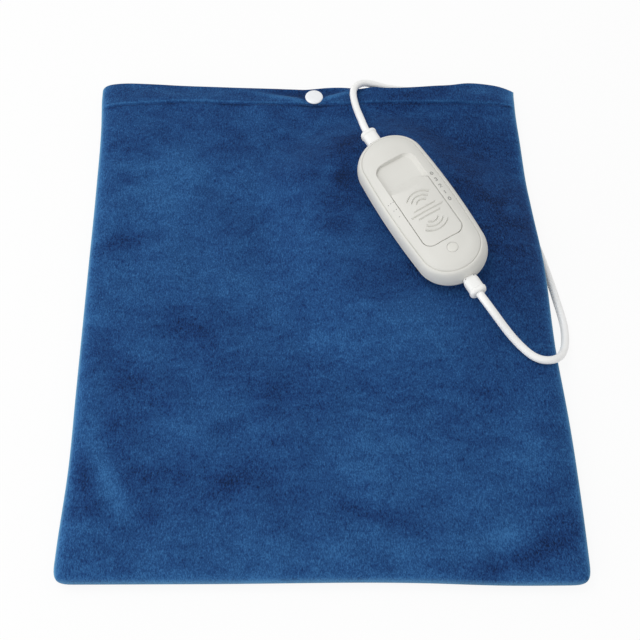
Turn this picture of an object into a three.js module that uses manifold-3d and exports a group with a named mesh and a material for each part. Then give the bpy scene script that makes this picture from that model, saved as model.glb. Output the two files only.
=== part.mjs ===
// A heating pad: a plush cover with a snap at its mouth, a wired pad inside it, and a hand controller
// that lies on the cover, with its pad lead, its mains lead, and the rest of that lead coiled underneath.
// Millimetres, +Z up. The cover lies on z = 0, centred on the origin, with its mouth towards +Y.
import * as THREE from "three";
import { mergeVertices } from "three/addons/utils/BufferGeometryUtils.js";
import Module from "manifold-3d";

const wasm = await Module();
wasm.setup();

// Clearances and overruns
const gap = 0.3;
const overrun = 1;

// Cover: two plush panels sewn together on three sides, with a doubled hem at the mouth
const coverWidth = 320;
const coverLength = 400;
const plush = 2.4;
const edgeRound = 16;
const hemDepth = 25.3;
const hemThickness = 3.4;
const hemBevel = 1.7;
const lipGap = 0.8;
const mouthDip = 8;
const mouthDipReach = 100;
const seamGap = 0.3;
const cornerPower = 4;

// The lip is the middle of the front hem, which lifts when the snap is opened
const lipStart = -70;
const lipEnd = 24;

// The front hem rises over the pad lead
const leadRiseBefore = 22.7;
const leadRiseAfter = 45.3;
const leadRiseReach = 16;

// Snap fastener
const snapX = 1;
const snapFromHemLine = 7.4;
const snapCapDiameter = 13.6;
const snapCapHeight = 1.9;
const snapDiscDiameter = 10.4;
const snapStudDiameter = 4;
const snapStudHeight = 1.2;
const snapFlange = 0.8;
const snapSocketHeight = 2.6;
const snapPostDiameter = 2.6;
const snapPlay = 1;
const snapFabric = 2.2;
const snapBackCap = 0.9;

// Inner pad: two layers with the heating wire between them
const layerThickness = 1.7;
const wireSpace = 2.2;
const wireDiameter = 1.4;
const innerEdge = 5;
const junctionRoom = 18;
const columns = 13;
const rows = 15;
const wireReturn = 6;
const turnSteps = 6;

// Lead junction and thermal cut-out of the inner pad
const junctionAside = 37.3;
const junctionWidth = 20;
const junctionLength = 9;
const junctionNeck = 3.4;
const junctionNeckLift = 0.5;
const cutoutLength = 12;
const cutoutWidth = 5;
const cutoutY = -128;

// Controller: where it lies, and its housing
const controllerFromMouth = 146;
const controllerTurn = THREE.MathUtils.degToRad(116.5);
const controllerLean = THREE.MathUtils.degToRad(11.5);
const controllerLength = 128;
const controllerWidth = 53;
const controllerHeight = 23.2;
const controllerBow = 1.4;
const spineLength = 80;
const wall = 2.2;
const floorThickness = 2;
const roofThickness = 1.8;
const partingHeight = 9.75;
const edgeInset = 10.5;
const shoulderInset = 4.3;
const shoulderDrop = 3.3;
const grooveWidth = 0.5;
const grooveDepth = 0.45;

// Slide switch of the controller
const trackLength = 75.5;
const trackWidth = 30.1;
const trackCentre = 1.2;
const trackRadius = 7;
const trackDepth = 2.8;
const trackClearance = 0.4;
const switchTravel = 18.4;
const switchSteps = 3;
const knobLength = 54.4;
const knobRamp = 7;
const knobLow = 0.9;
const knobCrown = 1;
const gripHeight = 0.4;
const gripWidth = 0.9;
const gripCentre = -9.9;
const gripSpacing = 3.4;
const stemLength = 6;
const stemWidth = 7;
const carriageLength = 20;
const carriageWidth = 14;
const carriageThickness = 2;

// Lamp of the controller
const lampShare = 0.2837;
const lampDiameter = 7.4;
const lampFlange = 1.1;
const ledDiameter = 5;
const ledHeight = 4.8;

// Circuit board and what it carries
const boardEndRoom = 24.5;
const boardWidth = 38;
const boardThickness = 1.6;
const boardHeight = 11.4;
const boardBeyondLamp = 3.6;
const boardTongueWidth = 14;
const padLength = 4;
const padWidth = 9;
const padThickness = 0.4;
const wiperThickness = 0.4;
const wiperWidth = 6;
const capacitorLength = 18;
const capacitorWidth = 8;
const capacitorHeight = 7.4;
const triacLength = 10;
const triacWidth = 4.6;
const triacHeight = 8;
const fuseLength = 20;
const fuseDiameter = 5.2;
const terminalLength = 9;
const terminalWidth = 12;
const terminalHeight = 7;
const partSpacing = 13;

// Posts and screws of the housing
const postDiameter = 6.6;
const boardPostDiameter = 4.4;
const boardPostInset = 5;
const screwFromBoard = 4;
const screwY = 11;
const screwDiameter = 2.8;
const screwHeadDiameter = 5.4;
const screwHeadHeight = 1.9;
const screwHeadDepth = 0.6;
const screwLength = 15;

// Strain reliefs of the controller
const reliefWidth = 10.6;
const reliefHeight = 8.2;
const reliefLength = 12.8;
const reliefNeckWidth = 7.6;
const reliefNeckHeight = 6.6;
const reliefFlange = 3.6;
const reliefLip = 0.5;
const reliefLipLength = 2.4;
const reliefRadius = 2.8;

// Cords, their coil, its tie and the plug
const cordDiameter = 5.4;
const coilPitch = 6;
const coilInner = 22.2;
const coilTurns = 6.8176;
const coilAlong = -19.5;
const coilAcross = 8;
const coilLayerGap = 0.5;
const tieWidth = 5;
const tieThickness = 0.6;
const plugWidth = 35.3;
const plugThickness = 13.5;
const plugLength = 36;
const plugAlong = 46.4;
const plugAcross = -9.6;
const bootLength = 12;
const bootDiameter = 8.4;
const pinDiameter = 4;
const pinLength = 19;
const pinSpacing = 18.6;

// How the cover lies over the coil and the plug
const drapeClearance = 0.7;
const drapeMargin = 9;
const coilDrapeReach = 62;
const plugDrapeReach = 48;

// Sizes worked out from the ones above
const halfWidth = coverWidth / 2;
const halfLength = coverLength / 2;
const controllerX = halfWidth * 0.454375;
const controllerY = halfLength - controllerFromMouth;
const junctionX = controllerX + junctionAside;
const leadRiseStart = controllerX - leadRiseBefore;
const leadRiseEnd = controllerX + leadRiseAfter;
const boardLength = controllerLength - 2 * boardEndRoom;
const screwX = boardLength / 2 + screwFromBoard;
const trackLow = trackCentre - trackLength / 2;
const flangeFace = controllerLength / 2 - 1.7 * wall - gap - reliefFlange;
const lampRoom = flangeFace + trackLow - lampDiameter - 2 * gap;
const lampCentre = trackLow - lampDiameter / 2 - gap - lampShare * lampRoom;
const hemLine = halfLength - hemDepth;
const innerTop = hemLine - junctionRoom;
const backTop = plush;
const backLayerLow = backTop + gap;
const backLayerTop = backLayerLow + layerThickness;
const wireLevel = backLayerTop + wireSpace / 2;
const frontLayerLow = backLayerTop + wireSpace;
const frontLayerTop = frontLayerLow + layerThickness;
const frontLow = frontLayerTop + gap;
const frontTop = frontLow + plush;
const seamLevel = frontTop / 2;
const cordRadius = cordDiameter / 2;
const coilOuter = coilInner + (coilTurns / 2) * coilPitch;
const coilRise = tieThickness + gap;
const coilLow = cordRadius + coilRise;
const coilHigh = coilLow + cordDiameter + coilLayerGap;
const coilTop = coilHigh + cordRadius;
const liftHeight = Math.max(coilTop, plugThickness) + drapeClearance;
const controllerSeat = liftHeight + frontTop + gap + (controllerWidth / 2 - edgeInset) * Math.sin(controllerLean);
const snapY = hemLine + snapFromHemLine;
const leadHemLow = Math.max(frontLow, hemThickness + cordDiameter + 3 * gap);

const plushBlue = new THREE.MeshStandardMaterial({ color: 0x284b7a, roughness: 0.95 });
const liningWhite = new THREE.MeshStandardMaterial({ color: 0xe6e4de, roughness: 0.9 });
const wireRed = new THREE.MeshStandardMaterial({ color: 0xa8483a, roughness: 0.6 });
const shellGrey = new THREE.MeshStandardMaterial({ color: 0xd7d8d2, roughness: 0.5 });
const cordWhite = new THREE.MeshStandardMaterial({ color: 0xf2f2f0, roughness: 0.35 });
const snapWhite = new THREE.MeshStandardMaterial({ color: 0xeef0f2, roughness: 0.3 });
const steel = new THREE.MeshStandardMaterial({ color: 0xb8babd, roughness: 0.3, metalness: 1 });
const brass = new THREE.MeshStandardMaterial({ color: 0xc9a75a, roughness: 0.35, metalness: 1 });
const boardGreen = new THREE.MeshStandardMaterial({ color: 0x2f6b45, roughness: 0.6 });
const partBlack = new THREE.MeshStandardMaterial({ color: 0x26282b, roughness: 0.5 });
const glassClear = new THREE.MeshStandardMaterial({ color: 0xdfe8ea, roughness: 0.1 });
const lampWhite = new THREE.MeshStandardMaterial({ color: 0xe4e5df, roughness: 0.3 });

const part = new THREE.Group();

function addMesh(group, name, geometry, material) {
  const mesh = new THREE.Mesh(geometry, material);
  mesh.name = name;
  group.add(mesh);
  return mesh;
}

// Joining and cutting of closed solids
function solid(geometry) {
  const bare = new THREE.BufferGeometry();
  bare.setAttribute("position", geometry.getAttribute("position"));
  if (geometry.index) bare.setIndex(geometry.index);
  const merged = mergeVertices(bare, gap * 1e-4);
  return new wasm.Manifold(
    new wasm.Mesh({
      numProp: 3,
      vertProperties: Float32Array.from(merged.attributes.position.array),
      triVerts: Uint32Array.from(merged.index.array),
    }),
  );
}

function geometryOf(manifold) {
  const mesh = manifold.getMesh();
  const geometry = new THREE.BufferGeometry();
  geometry.setAttribute("position", new THREE.BufferAttribute(mesh.vertProperties, 3));
  geometry.setIndex(new THREE.BufferAttribute(mesh.triVerts, 1));
  return geometry;
}

function unionOf(...geometries) {
  return geometries.map(solid).reduce((whole, next) => whole.add(next));
}

function meshOf(points, triangles) {
  const geometry = new THREE.BufferGeometry();
  geometry.setAttribute("position", new THREE.Float32BufferAttribute(points, 3));
  geometry.setIndex(triangles);
  return geometry;
}

// Simple bodies, each placed by its middle in plan and its lowest level
function block(length, width, height, x, y, low) {
  return new THREE.BoxGeometry(length, width, height).translate(x, y, low + height / 2);
}

function upright(diameter, height, x, y, low, sides = 16) {
  const body = new THREE.CylinderGeometry(diameter / 2, diameter / 2, height, sides);
  return body.rotateX(Math.PI / 2).translate(x, y, low + height / 2);
}

// A turned body on the Z axis, from [radius, height] pairs that start and end on the axis
function turned(profile, sides = 16) {
  const points = profile.map(([radius, height]) => new THREE.Vector2(radius, height));
  return new THREE.LatheGeometry(points, sides).rotateX(Math.PI / 2);
}

function roundedRectangle(length, width, radius) {
  const shape = new THREE.Shape();
  const x = length / 2 - radius;
  const y = width / 2 - radius;
  shape.absarc(x, y, radius, 0, Math.PI / 2);
  shape.absarc(-x, y, radius, Math.PI / 2, Math.PI);
  shape.absarc(-x, -y, radius, Math.PI, (3 * Math.PI) / 2);
  shape.absarc(x, -y, radius, (3 * Math.PI) / 2, 2 * Math.PI);
  return shape;
}

function polygon(points) {
  return new THREE.Shape(points.map(([x, y]) => new THREE.Vector2(x, y)));
}

function raised(shape, height, low, curveSegments = 6) {
  const body = new THREE.ExtrudeGeometry(shape, { depth: height, bevelEnabled: false, curveSegments });
  return body.translate(0, 0, low);
}

// A profile drawn in X and Z, carried across Y and centred there
function across(shape, width) {
  const body = new THREE.ExtrudeGeometry(shape, { depth: width, bevelEnabled: false, curveSegments: 4 });
  return body.translate(0, 0, -width / 2).rotateX(Math.PI / 2);
}

// A profile drawn in Y and Z, carried along X from a start
function along(shape, length, start) {
  const body = new THREE.ExtrudeGeometry(shape, { depth: length, bevelEnabled: false, curveSegments: 3 });
  return body.rotateZ(Math.PI / 2).rotateY(Math.PI / 2).translate(start, 0, 0);
}

// The cloth grid: each line has its place and its share of the way in from a sewn edge
const edgeShares = [0, 0.14, 0.45];

function evenLines(from, to, cells) {
  return Array.from({ length: cells + 1 }, (_, k) => ({ at: from + ((to - from) * k) / cells, in: 1, side: 0 }));
}

function edgeLines(half, side) {
  const lines = edgeShares.map((share) => ({ at: side * (half - share * edgeRound), in: share, side }));
  return side < 0 ? lines : lines.reverse();
}

const flatWidth = halfWidth - edgeRound;
const flatStart = edgeRound - halfLength;
const columnLines = evenLines(-flatWidth, flatWidth, columns);
const rowLines = evenLines(flatStart, innerTop, rows);
const lastRow = { at: hemLine - gap / 2, in: 1, side: 0 };
const xLines = [...edgeLines(halfWidth, -1), ...columnLines, ...edgeLines(halfWidth, 1)];
const yLines = [...edgeLines(halfLength, -1), ...rowLines, lastRow];

// Distances along and across the controller, from its middle
const axisX = Math.cos(controllerTurn);
const axisY = Math.sin(controllerTurn);

function inController(x, y) {
  const dx = x - controllerX;
  const dy = y - controllerY;
  return [dx * axisX + dy * axisY, dy * axisX - dx * axisY];
}

function fall(outside, reach) {
  return 1 - THREE.MathUtils.smoothstep(outside, 0, reach);
}

// Height of the cloth's underside over the floor: it lies flat, and rises over the coil and the plug
function lift(x, y) {
  const [a, b] = inController(x, y);
  const fromCoil = Math.hypot(a - coilAlong, b - coilAcross) - coilOuter - cordRadius - drapeMargin;
  const plugMiddle = plugAcross + (bootLength + plugLength) / 2;
  const besideLength = Math.max(Math.abs(a - plugAlong) - plugWidth / 2, 0);
  const besideWidth = Math.max(Math.abs(b - plugMiddle) - (bootLength + plugLength) / 2, 0);
  const fromPlug = Math.hypot(besideLength, besideWidth) - drapeMargin;
  return liftHeight * (1 - (1 - fall(fromCoil, coilDrapeReach)) * (1 - fall(fromPlug, plugDrapeReach)));
}

// The same height between the grid's lines, on the same triangles as the sheets
function drape(x, y) {
  const i = cellOf(xLines, x);
  const j = cellOf(yLines, y);
  const u = (x - xLines[i].at) / (xLines[i + 1].at - xLines[i].at);
  const v = (y - yLines[j].at) / (yLines[j + 1].at - yLines[j].at);
  const near = lift(xLines[i].at, yLines[j].at);
  const far = lift(xLines[i + 1].at, yLines[j + 1].at);
  if (u > v) {
    const right = lift(xLines[i + 1].at, yLines[j].at);
    return near + u * (right - near) + v * (far - right);
  }
  const up = lift(xLines[i].at, yLines[j + 1].at);
  return near + v * (up - near) + u * (far - up);
}

function cellOf(lines, at) {
  const next = lines.findIndex((line) => line.at >= at);
  if (next < 0) return lines.length - 2;
  return Math.max(next - 1, 0);
}

// A closed sheet on the grid, from the points of its upper and its lower face
function sheet(xs, ys, upper, lower) {
  const points = [];
  for (const face of [upper, lower]) {
    for (const y of ys) {
      for (const x of xs) points.push(...face(x, y));
    }
  }
  const nx = xs.length;
  const ny = ys.length;
  const top = (i, j) => j * nx + i;
  const low = (i, j) => nx * ny + j * nx + i;
  const triangles = [];
  const quad = (a, b, c, d) => triangles.push(a, b, c, a, c, d);
  for (let j = 0; j < ny - 1; j++) {
    for (let i = 0; i < nx - 1; i++) {
      quad(top(i, j), top(i + 1, j), top(i + 1, j + 1), top(i, j + 1));
      quad(low(i, j), low(i, j + 1), low(i + 1, j + 1), low(i + 1, j));
    }
  }
  for (let i = 0; i < nx - 1; i++) {
    quad(top(i, 0), low(i, 0), low(i + 1, 0), top(i + 1, 0));
    quad(top(i + 1, ny - 1), low(i + 1, ny - 1), low(i, ny - 1), top(i, ny - 1));
  }
  for (let j = 0; j < ny - 1; j++) {
    quad(top(0, j + 1), low(0, j + 1), low(0, j), top(0, j));
    quad(top(nx - 1, j), low(nx - 1, j), low(nx - 1, j + 1), top(nx - 1, j + 1));
  }
  return meshOf(points, triangles);
}

// Where a grid point lies in plan: the corner squares bend into round corners, and an inset draws in the edge
function inPlan(x, y, inset) {
  const keep = 1 - inset / edgeRound;
  const bend = (share) => (1 - share ** cornerPower / 2) ** (1 / cornerPower);
  const place = (line, other, half) => {
    if (!line.side) return line.at;
    return line.side * (half - edgeRound + edgeRound * keep * (1 - line.in) * bend(1 - other.in));
  };
  return [place(x, y, halfWidth), place(y, x, halfLength)];
}

// A face of a panel: it leaves the seam upright and rounds over to its own level
function roundedFace(inset, seam, level) {
  return (x, y) => {
    const round = Math.sqrt(1 - (1 - Math.min(x.in, y.in)) ** 2);
    const base = lift(x.at, y.at);
    const flat = level(x, y);
    return [...inPlan(x, y, inset), base + THREE.MathUtils.lerp(seam(x, y), flat, round)];
  };
}

const frontSeam = () => seamLevel + seamGap / 2;
const backSeam = () => seamLevel - seamGap / 2;

function makeCover() {
  const rise = (x, y) => (y === lastRow ? (leadHemLow - frontLow) * overLead(x.at) : 0);
  const front = sheet(
    xLines,
    yLines,
    roundedFace(0, frontSeam, (x, y) => frontTop + rise(x, y)),
    roundedFace(plush, frontSeam, (x, y) => frontLow + rise(x, y)),
  );
  const back = sheet(
    xLines,
    yLines,
    roundedFace(plush, backSeam, () => backTop),
    roundedFace(0, backSeam, () => 0),
  );
  addMesh(part, "cover_front", front, plushBlue);
  addMesh(part, "cover_back", back, plushBlue);
}

// Hems: bands from the stitch line to the mouth, whose edge dips in the middle
const hemShares = [0, 0.36, 0.72, 1];

function mouthEdge(x) {
  const bell = (at) => Math.exp(-((at / mouthDipReach) ** 2));
  return halfLength - mouthDip * (bell(x) - bell(halfWidth));
}

function overLead(x) {
  const rise = THREE.MathUtils.smoothstep(x, leadRiseStart - leadRiseReach, leadRiseStart);
  return rise * (1 - THREE.MathUtils.smoothstep(x, leadRiseEnd, leadRiseEnd + leadRiseReach));
}

// The underside of the front hem: it falls to the back hem, or stays up over the lead
function hemUnderside(x, share) {
  const closed = THREE.MathUtils.lerp(frontLow, hemThickness + lipGap, THREE.MathUtils.smoothstep(share, 0, 1));
  return THREE.MathUtils.lerp(closed, leadHemLow, overLead(x));
}

function hemFace(inset, side, level) {
  return (x, y) => {
    const start = hemLine + gap / 2 + side * hemBevel;
    const ahead = start + (mouthEdge(x.at) - start) * y.at;
    const round = Math.sqrt(1 - (1 - x.in) ** 2);
    const underside = hemUnderside(x.at, y.at);
    const seam = (underside + hemThickness) / 2 + (level === "back" ? -seamGap / 2 : seamGap / 2);
    const levels = { top: underside + hemThickness, under: underside, back: hemThickness, floor: 0 };
    const outer = inset ? levels[level === "back" ? "back" : "under"] : levels[level === "back" ? "floor" : "top"];
    const [beside] = inPlan(x, { in: 1, side: 0, at: ahead }, inset);
    return [beside, ahead, lift(x.at, Math.min(ahead, hemLine)) + THREE.MathUtils.lerp(seam, outer, round)];
  };
}

function hemLines() {
  return hemShares.map((share) => ({ at: share, in: 1, side: 0 }));
}

function frontHem(lines) {
  return sheet(lines, hemLines(), hemFace(0, 1, "front"), hemFace(hemThickness, 0, "front"));
}

function makeHems() {
  const back = sheet(xLines, hemLines(), hemFace(hemThickness, 0, "back"), hemFace(0, 0, "back"));
  const leftLines = [...edgeLines(halfWidth, -1), ...evenLines(-flatWidth, lipStart - gap, 4)];
  const rightLines = [...evenLines(lipEnd + gap, flatWidth, 12), ...edgeLines(halfWidth, 1)];
  const rivetHole = upright(snapPostDiameter + 2 * gap, hemThickness + 2 * overrun, snapX, snapY, -overrun);
  const backSeat = upright(snapDiscDiameter + 2 * gap, snapBackCap + 2 * gap + overrun, snapX, snapY, -overrun);
  addMesh(part, "hem_back", geometryOf(solid(back).subtract(unionOf(rivetHole, backSeat))), plushBlue);
  addMesh(part, "hem_front_left", frontHem(leftLines), plushBlue);
  addMesh(part, "hem_front_right", frontHem(rightLines), plushBlue);
  const lip = solid(frontHem(evenLines(lipStart, lipEnd, 6)));
  const capSeat = upright(snapCapDiameter + 2 * gap, hemDepth, snapX, snapY, snapLevels.fabricTop);
  const socketSeat = upright(snapDiscDiameter + 4 * gap, hemDepth, snapX, snapY, snapLevels.fabricLow - hemDepth);
  const postHole = upright(snapPostDiameter + 2 * gap, hemDepth, snapX, snapY, 0);
  const cuts = unionOf(capSeat, socketSeat, postHole);
  addMesh(part, "mouth_lip", geometryOf(lip.subtract(cuts)), plushBlue);
}

// Snap: a stud riveted to the back hem, and a socket riveted to the lip under the cap
const snapLevels = (() => {
  const studLow = hemThickness + gap;
  const socketLow = studLow + snapFlange + gap;
  const fabricLow = socketLow + snapSocketHeight + gap;
  return { studLow, socketLow, fabricLow, fabricTop: fabricLow + snapFabric };
})();

function makeSnap() {
  const { studLow, socketLow, fabricLow, fabricTop } = snapLevels;
  const discRadius = snapDiscDiameter / 2;
  const capRadius = snapCapDiameter / 2;
  const postRadius = snapPostDiameter / 2;
  const studRadius = snapStudDiameter / 2;
  const bore = studRadius + snapPlay;
  const capLow = fabricTop + gap;
  const cap = turned([
    [0, fabricLow],
    [postRadius, fabricLow],
    [postRadius, capLow],
    [capRadius - snapFlange, capLow],
    [capRadius, capLow + snapCapHeight * 0.3],
    [capRadius * 0.94, capLow + snapCapHeight * 0.62],
    [capRadius * 0.7, capLow + snapCapHeight * 0.9],
    [capRadius * 0.3, capLow + snapCapHeight],
    [0, capLow + snapCapHeight],
  ]);
  const socket = turned([
    [0, socketLow + snapStudHeight + gap],
    [bore, socketLow + snapStudHeight + gap],
    [bore, socketLow],
    [discRadius * 0.8, socketLow],
    [discRadius, socketLow + snapFlange],
    [discRadius, socketLow + snapSocketHeight],
    [0, socketLow + snapSocketHeight],
  ]);
  const stud = turned([
    [0, studLow],
    [discRadius, studLow],
    [discRadius, studLow + snapFlange * 0.6],
    [discRadius * 0.8, studLow + snapFlange],
    [studRadius * 0.9, studLow + snapFlange],
    [studRadius, studLow + snapFlange + snapStudHeight * 0.7],
    [studRadius * 0.8, studLow + snapFlange + snapStudHeight],
    [0, studLow + snapFlange + snapStudHeight],
  ]);
  const backCap = turned([
    [0, gap],
    [discRadius, gap],
    [discRadius, gap + snapBackCap],
    [postRadius, gap + snapBackCap],
    [postRadius, hemThickness],
    [0, hemThickness],
  ]);
  const snap = new THREE.Group();
  snap.position.set(snapX, snapY, 0);
  part.add(snap);
  addMesh(snap, "snap_cap", cap, snapWhite);
  addMesh(snap, "snap_socket", socket, snapWhite);
  addMesh(snap, "snap_stud", stud, snapWhite);
  addMesh(snap, "snap_back_cap", backCap, snapWhite);
}

// Inner pad: each layer draws towards the other at its sewn edges, and ends open at its top
function layerFace(flat, edge) {
  return (x, y) => {
    const drawn = x.border || y.border ? edge : flat;
    return [x.at, y.at, lift(x.at, y.at) + drawn];
  };
}

function makeInnerPad() {
  const border = (at) => ({ at, in: 1, side: 0, border: true });
  const xs = [border(-flatWidth - innerEdge), ...columnLines, border(flatWidth + innerEdge)];
  const ys = [border(flatStart - innerEdge), ...rowLines];
  const edgeTop = wireLevel + gap / 2 + layerThickness;
  const edgeLow = wireLevel - gap / 2 - layerThickness;
  const front = sheet(xs, ys, layerFace(frontLayerTop, edgeTop), layerFace(frontLayerLow, wireLevel + gap / 2));
  const back = sheet(xs, ys, layerFace(backLayerTop, wireLevel - gap / 2), layerFace(backLayerLow, edgeLow));
  addMesh(part, "inner_pad_front", front, liningWhite);
  addMesh(part, "inner_pad_back", back, liningWhite);
}

// The heating wire's route in plan: runs on the grid's columns, turns at both ends, and a return to the junction
function wireRoute() {
  const turn = flatWidth / columns;
  const runLow = rowLines[1].at;
  const runHigh = rowLines[rows - 1].at;
  const [entry, exit] = [junctionX - junctionWidth / 4, junctionX + junctionWidth / 4];
  const points = [[entry, innerTop + 2 * gap], ...returnRun(entry, columnLines[1].at)];
  for (let i = 1; i < columns; i++) {
    const goingDown = i % 2 === 1;
    const run = rowLines.slice(1, rows).map((row) => [columnLines[i].at, row.at]);
    points.push(...(goingDown ? run.reverse() : run));
    if (i === columns - 1) break;
    for (let k = 1; k < turnSteps; k++) {
      const angle = (Math.PI * k) / turnSteps;
      const end = goingDown ? runLow - turn * Math.sin(angle) : runHigh + turn * Math.sin(angle);
      points.push([columnLines[i].at + turn * (1 - Math.cos(angle)), end]);
    }
  }
  points.push(...returnRun(columnLines[columns - 1].at, exit), [exit, innerTop + 2 * gap]);
  return withoutFlatSteps(points);
}

// A run along X above the turns, with a point at each column and each diagonal that it crosses
function returnRun(from, to) {
  const level = innerTop - wireReturn;
  const j = cellOf(yLines, level);
  const share = (level - yLines[j].at) / (yLines[j + 1].at - yLines[j].at);
  const pitch = (2 * flatWidth) / columns;
  const low = Math.min(from, to) + wireDiameter;
  const high = Math.max(from, to) - wireDiameter;
  const crossings = columnLines.flatMap(({ at }) => [at, at + pitch * share]);
  const between = crossings.filter((x) => x > low && x < high).sort((a, b) => (to - from) * (a - b));
  return [from, ...between, to].map((x) => [x, level]);
}

function withoutFlatSteps(points) {
  const height = ([x, y]) => drape(x, y);
  return points.filter((point, k) => {
    if (k === 0 || k === points.length - 1) return true;
    const [before, after] = [points[k - 1], points[k + 1]];
    const inLine = (axis) => before[axis] === point[axis] && after[axis] === point[axis];
    const straight = inLine(0) || inLine(1);
    return !straight || height(before) + height(point) + height(after) > 0;
  });
}

// A tube through every point, with its section kept upright
function tubeThrough(points, radius, sides) {
  const vertices = [];
  const up = new THREE.Vector3(0, 0, 1);
  const ahead = new THREE.Vector3();
  const side = new THREE.Vector3();
  const rise = new THREE.Vector3();
  points.forEach((point, k) => {
    const before = points[Math.max(k - 1, 0)];
    const after = points[Math.min(k + 1, points.length - 1)];
    const into = new THREE.Vector3().subVectors(point, before).normalize();
    const out = new THREE.Vector3().subVectors(after, point).normalize();
    ahead.addVectors(into, out).normalize();
    side.crossVectors(ahead, up).normalize();
    rise.crossVectors(side, ahead);
    const mitre = k === 0 || k === points.length - 1 ? 1 : 1 / Math.max(ahead.dot(into), 0.7);
    for (let s = 0; s < sides; s++) {
      const angle = (2 * Math.PI * s) / sides;
      const corner = point.clone();
      corner.addScaledVector(side, radius * mitre * Math.cos(angle));
      corner.addScaledVector(rise, radius * Math.sin(angle));
      vertices.push(...corner.toArray());
    }
  });
  const triangles = [];
  const rings = points.length;
  for (let k = 0; k < rings - 1; k++) {
    for (let s = 0; s < sides; s++) {
      const next = (s + 1) % sides;
      const [a, b, c, d] = [k * sides + s, k * sides + next, (k + 1) * sides + next, (k + 1) * sides + s];
      triangles.push(a, c, b, a, d, c);
    }
  }
  const end = (rings - 1) * sides;
  for (let s = 1; s < sides - 1; s++) {
    triangles.push(0, s, s + 1);
    triangles.push(end, end + s + 1, end + s);
  }
  return outward(meshOf(vertices, triangles));
}

// Turns every face round if the mesh is inside out
function outward(geometry) {
  const position = geometry.getAttribute("position");
  const index = geometry.index.array;
  const [a, b, c] = [new THREE.Vector3(), new THREE.Vector3(), new THREE.Vector3()];
  let volume = 0;
  for (let k = 0; k < index.length; k += 3) {
    a.fromBufferAttribute(position, index[k]);
    b.fromBufferAttribute(position, index[k + 1]);
    c.fromBufferAttribute(position, index[k + 2]);
    volume += a.dot(b.cross(c));
  }
  if (volume > 0) return geometry;
  for (let k = 0; k < index.length; k += 3) {
    [index[k + 1], index[k + 2]] = [index[k + 2], index[k + 1]];
  }
  return geometry;
}

function makeHeater() {
  const route = wireRoute().map(([x, y]) => new THREE.Vector3(x, y, drape(x, y) + wireLevel));
  addMesh(part, "heating_wire", tubeThrough(route, wireDiameter / 2, 4), wireRed);
  const cutoutX = (columnLines[6].at + columnLines[7].at) / 2;
  const cutout = raised(roundedRectangle(cutoutWidth, cutoutLength, cutoutWidth / 3), wireDiameter, 0, 3);
  const cutoutLow = drape(cutoutX, cutoutY) + wireLevel - wireDiameter / 2;
  addMesh(part, "thermal_cutout", cutout.translate(cutoutX, cutoutY, cutoutLow), steel);

  const junctionHeight = frontLayerTop - backLayerLow;
  const middle = (frontLayerTop + backLayerLow) / 2;
  const start = innerTop + 3 * gap;
  const base = raised(roundedRectangle(junctionWidth, junctionLength, junctionLength / 4), junctionHeight, 0, 3);
  const neckRadius = junctionHeight / 2;
  const neck = new THREE.CylinderGeometry(neckRadius * 0.85, neckRadius, junctionNeck + gap, 12);
  neck.translate(0, (junctionNeck - gap) / 2 + junctionLength / 2, middle - backLayerLow + junctionNeckLift);
  const junction = geometryOf(unionOf(base, neck));
  const low = drape(junctionX, start + junctionLength / 2) + backLayerLow;
  addMesh(part, "lead_junction", junction.translate(junctionX, start + junctionLength / 2, low), cordWhite);
}

// Controller housing: plan outlines with bowed sides and round ends, drawn in and stacked
const endSteps = 12;
const sideSteps = 6;
const halfSpine = spineLength / 2;
const endReach = controllerLength / 2 - halfSpine;

function controllerOutline(inset) {
  const halfWide = (x) => controllerWidth / 2 - controllerBow * (x / halfSpine) ** 2 - inset;
  const points = [];
  for (const end of [1, -1]) {
    for (let k = 0; k <= endSteps; k++) {
      const angle = -Math.PI / 2 + (Math.PI * k) / endSteps;
      const reach = halfSpine + (endReach - inset) * Math.cos(angle);
      points.push([end * reach, end * halfWide(halfSpine) * Math.sin(angle)]);
    }
    for (let k = 1; k < sideSteps; k++) {
      const x = end * halfSpine * (1 - (2 * k) / sideSteps);
      points.push([x, end * halfWide(x)]);
    }
  }
  return points;
}

// A body through outlines of [inset, height], from the lowest to the highest
function stacked(levels) {
  const rings = levels.map(([inset, height]) => controllerOutline(inset).map(([x, y]) => [x, y, height]));
  const count = rings[0].length;
  const points = rings.flat(2);
  const triangles = [];
  for (let k = 0; k < rings.length - 1; k++) {
    for (let s = 0; s < count; s++) {
      const next = (s + 1) % count;
      const [a, b, c, d] = [k * count + s, k * count + next, (k + 1) * count + next, (k + 1) * count + s];
      triangles.push(a, b, c, a, c, d);
    }
  }
  const lowest = points.length / 3;
  points.push(0, 0, levels[0][1], 0, 0, levels.at(-1)[1]);
  const lastRing = (rings.length - 1) * count;
  for (let s = 0; s < count; s++) {
    const next = (s + 1) % count;
    triangles.push(lowest, next, s);
    triangles.push(lowest + 1, lastRing + s, lastRing + next);
  }
  return meshOf(points, triangles);
}

const partingLow = partingHeight - gap / 2;
const partingTop = partingHeight + gap / 2;
const trackFloor = controllerHeight - trackDepth;
const roofLow = trackFloor - roofThickness;
const shoulderHeight = controllerHeight - shoulderDrop;
const baseShares = [[1, 0], [0.617, 0.076], [0.293, 0.293], [0.076, 0.617], [0, 1]];
const sideShares = [[0, 0], [0.04, 0.26], [0.2, 0.57], [0.5, 0.81], [1 - 0.09, 1]];
const crownShares = [[0.3, 0.44], [0.55, 0.78], [0.8, 1]];
const cavityShares = [[0, 0.3], [0.4, 0.65], [1.2, 0.88], [1.9, 1]];

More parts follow.
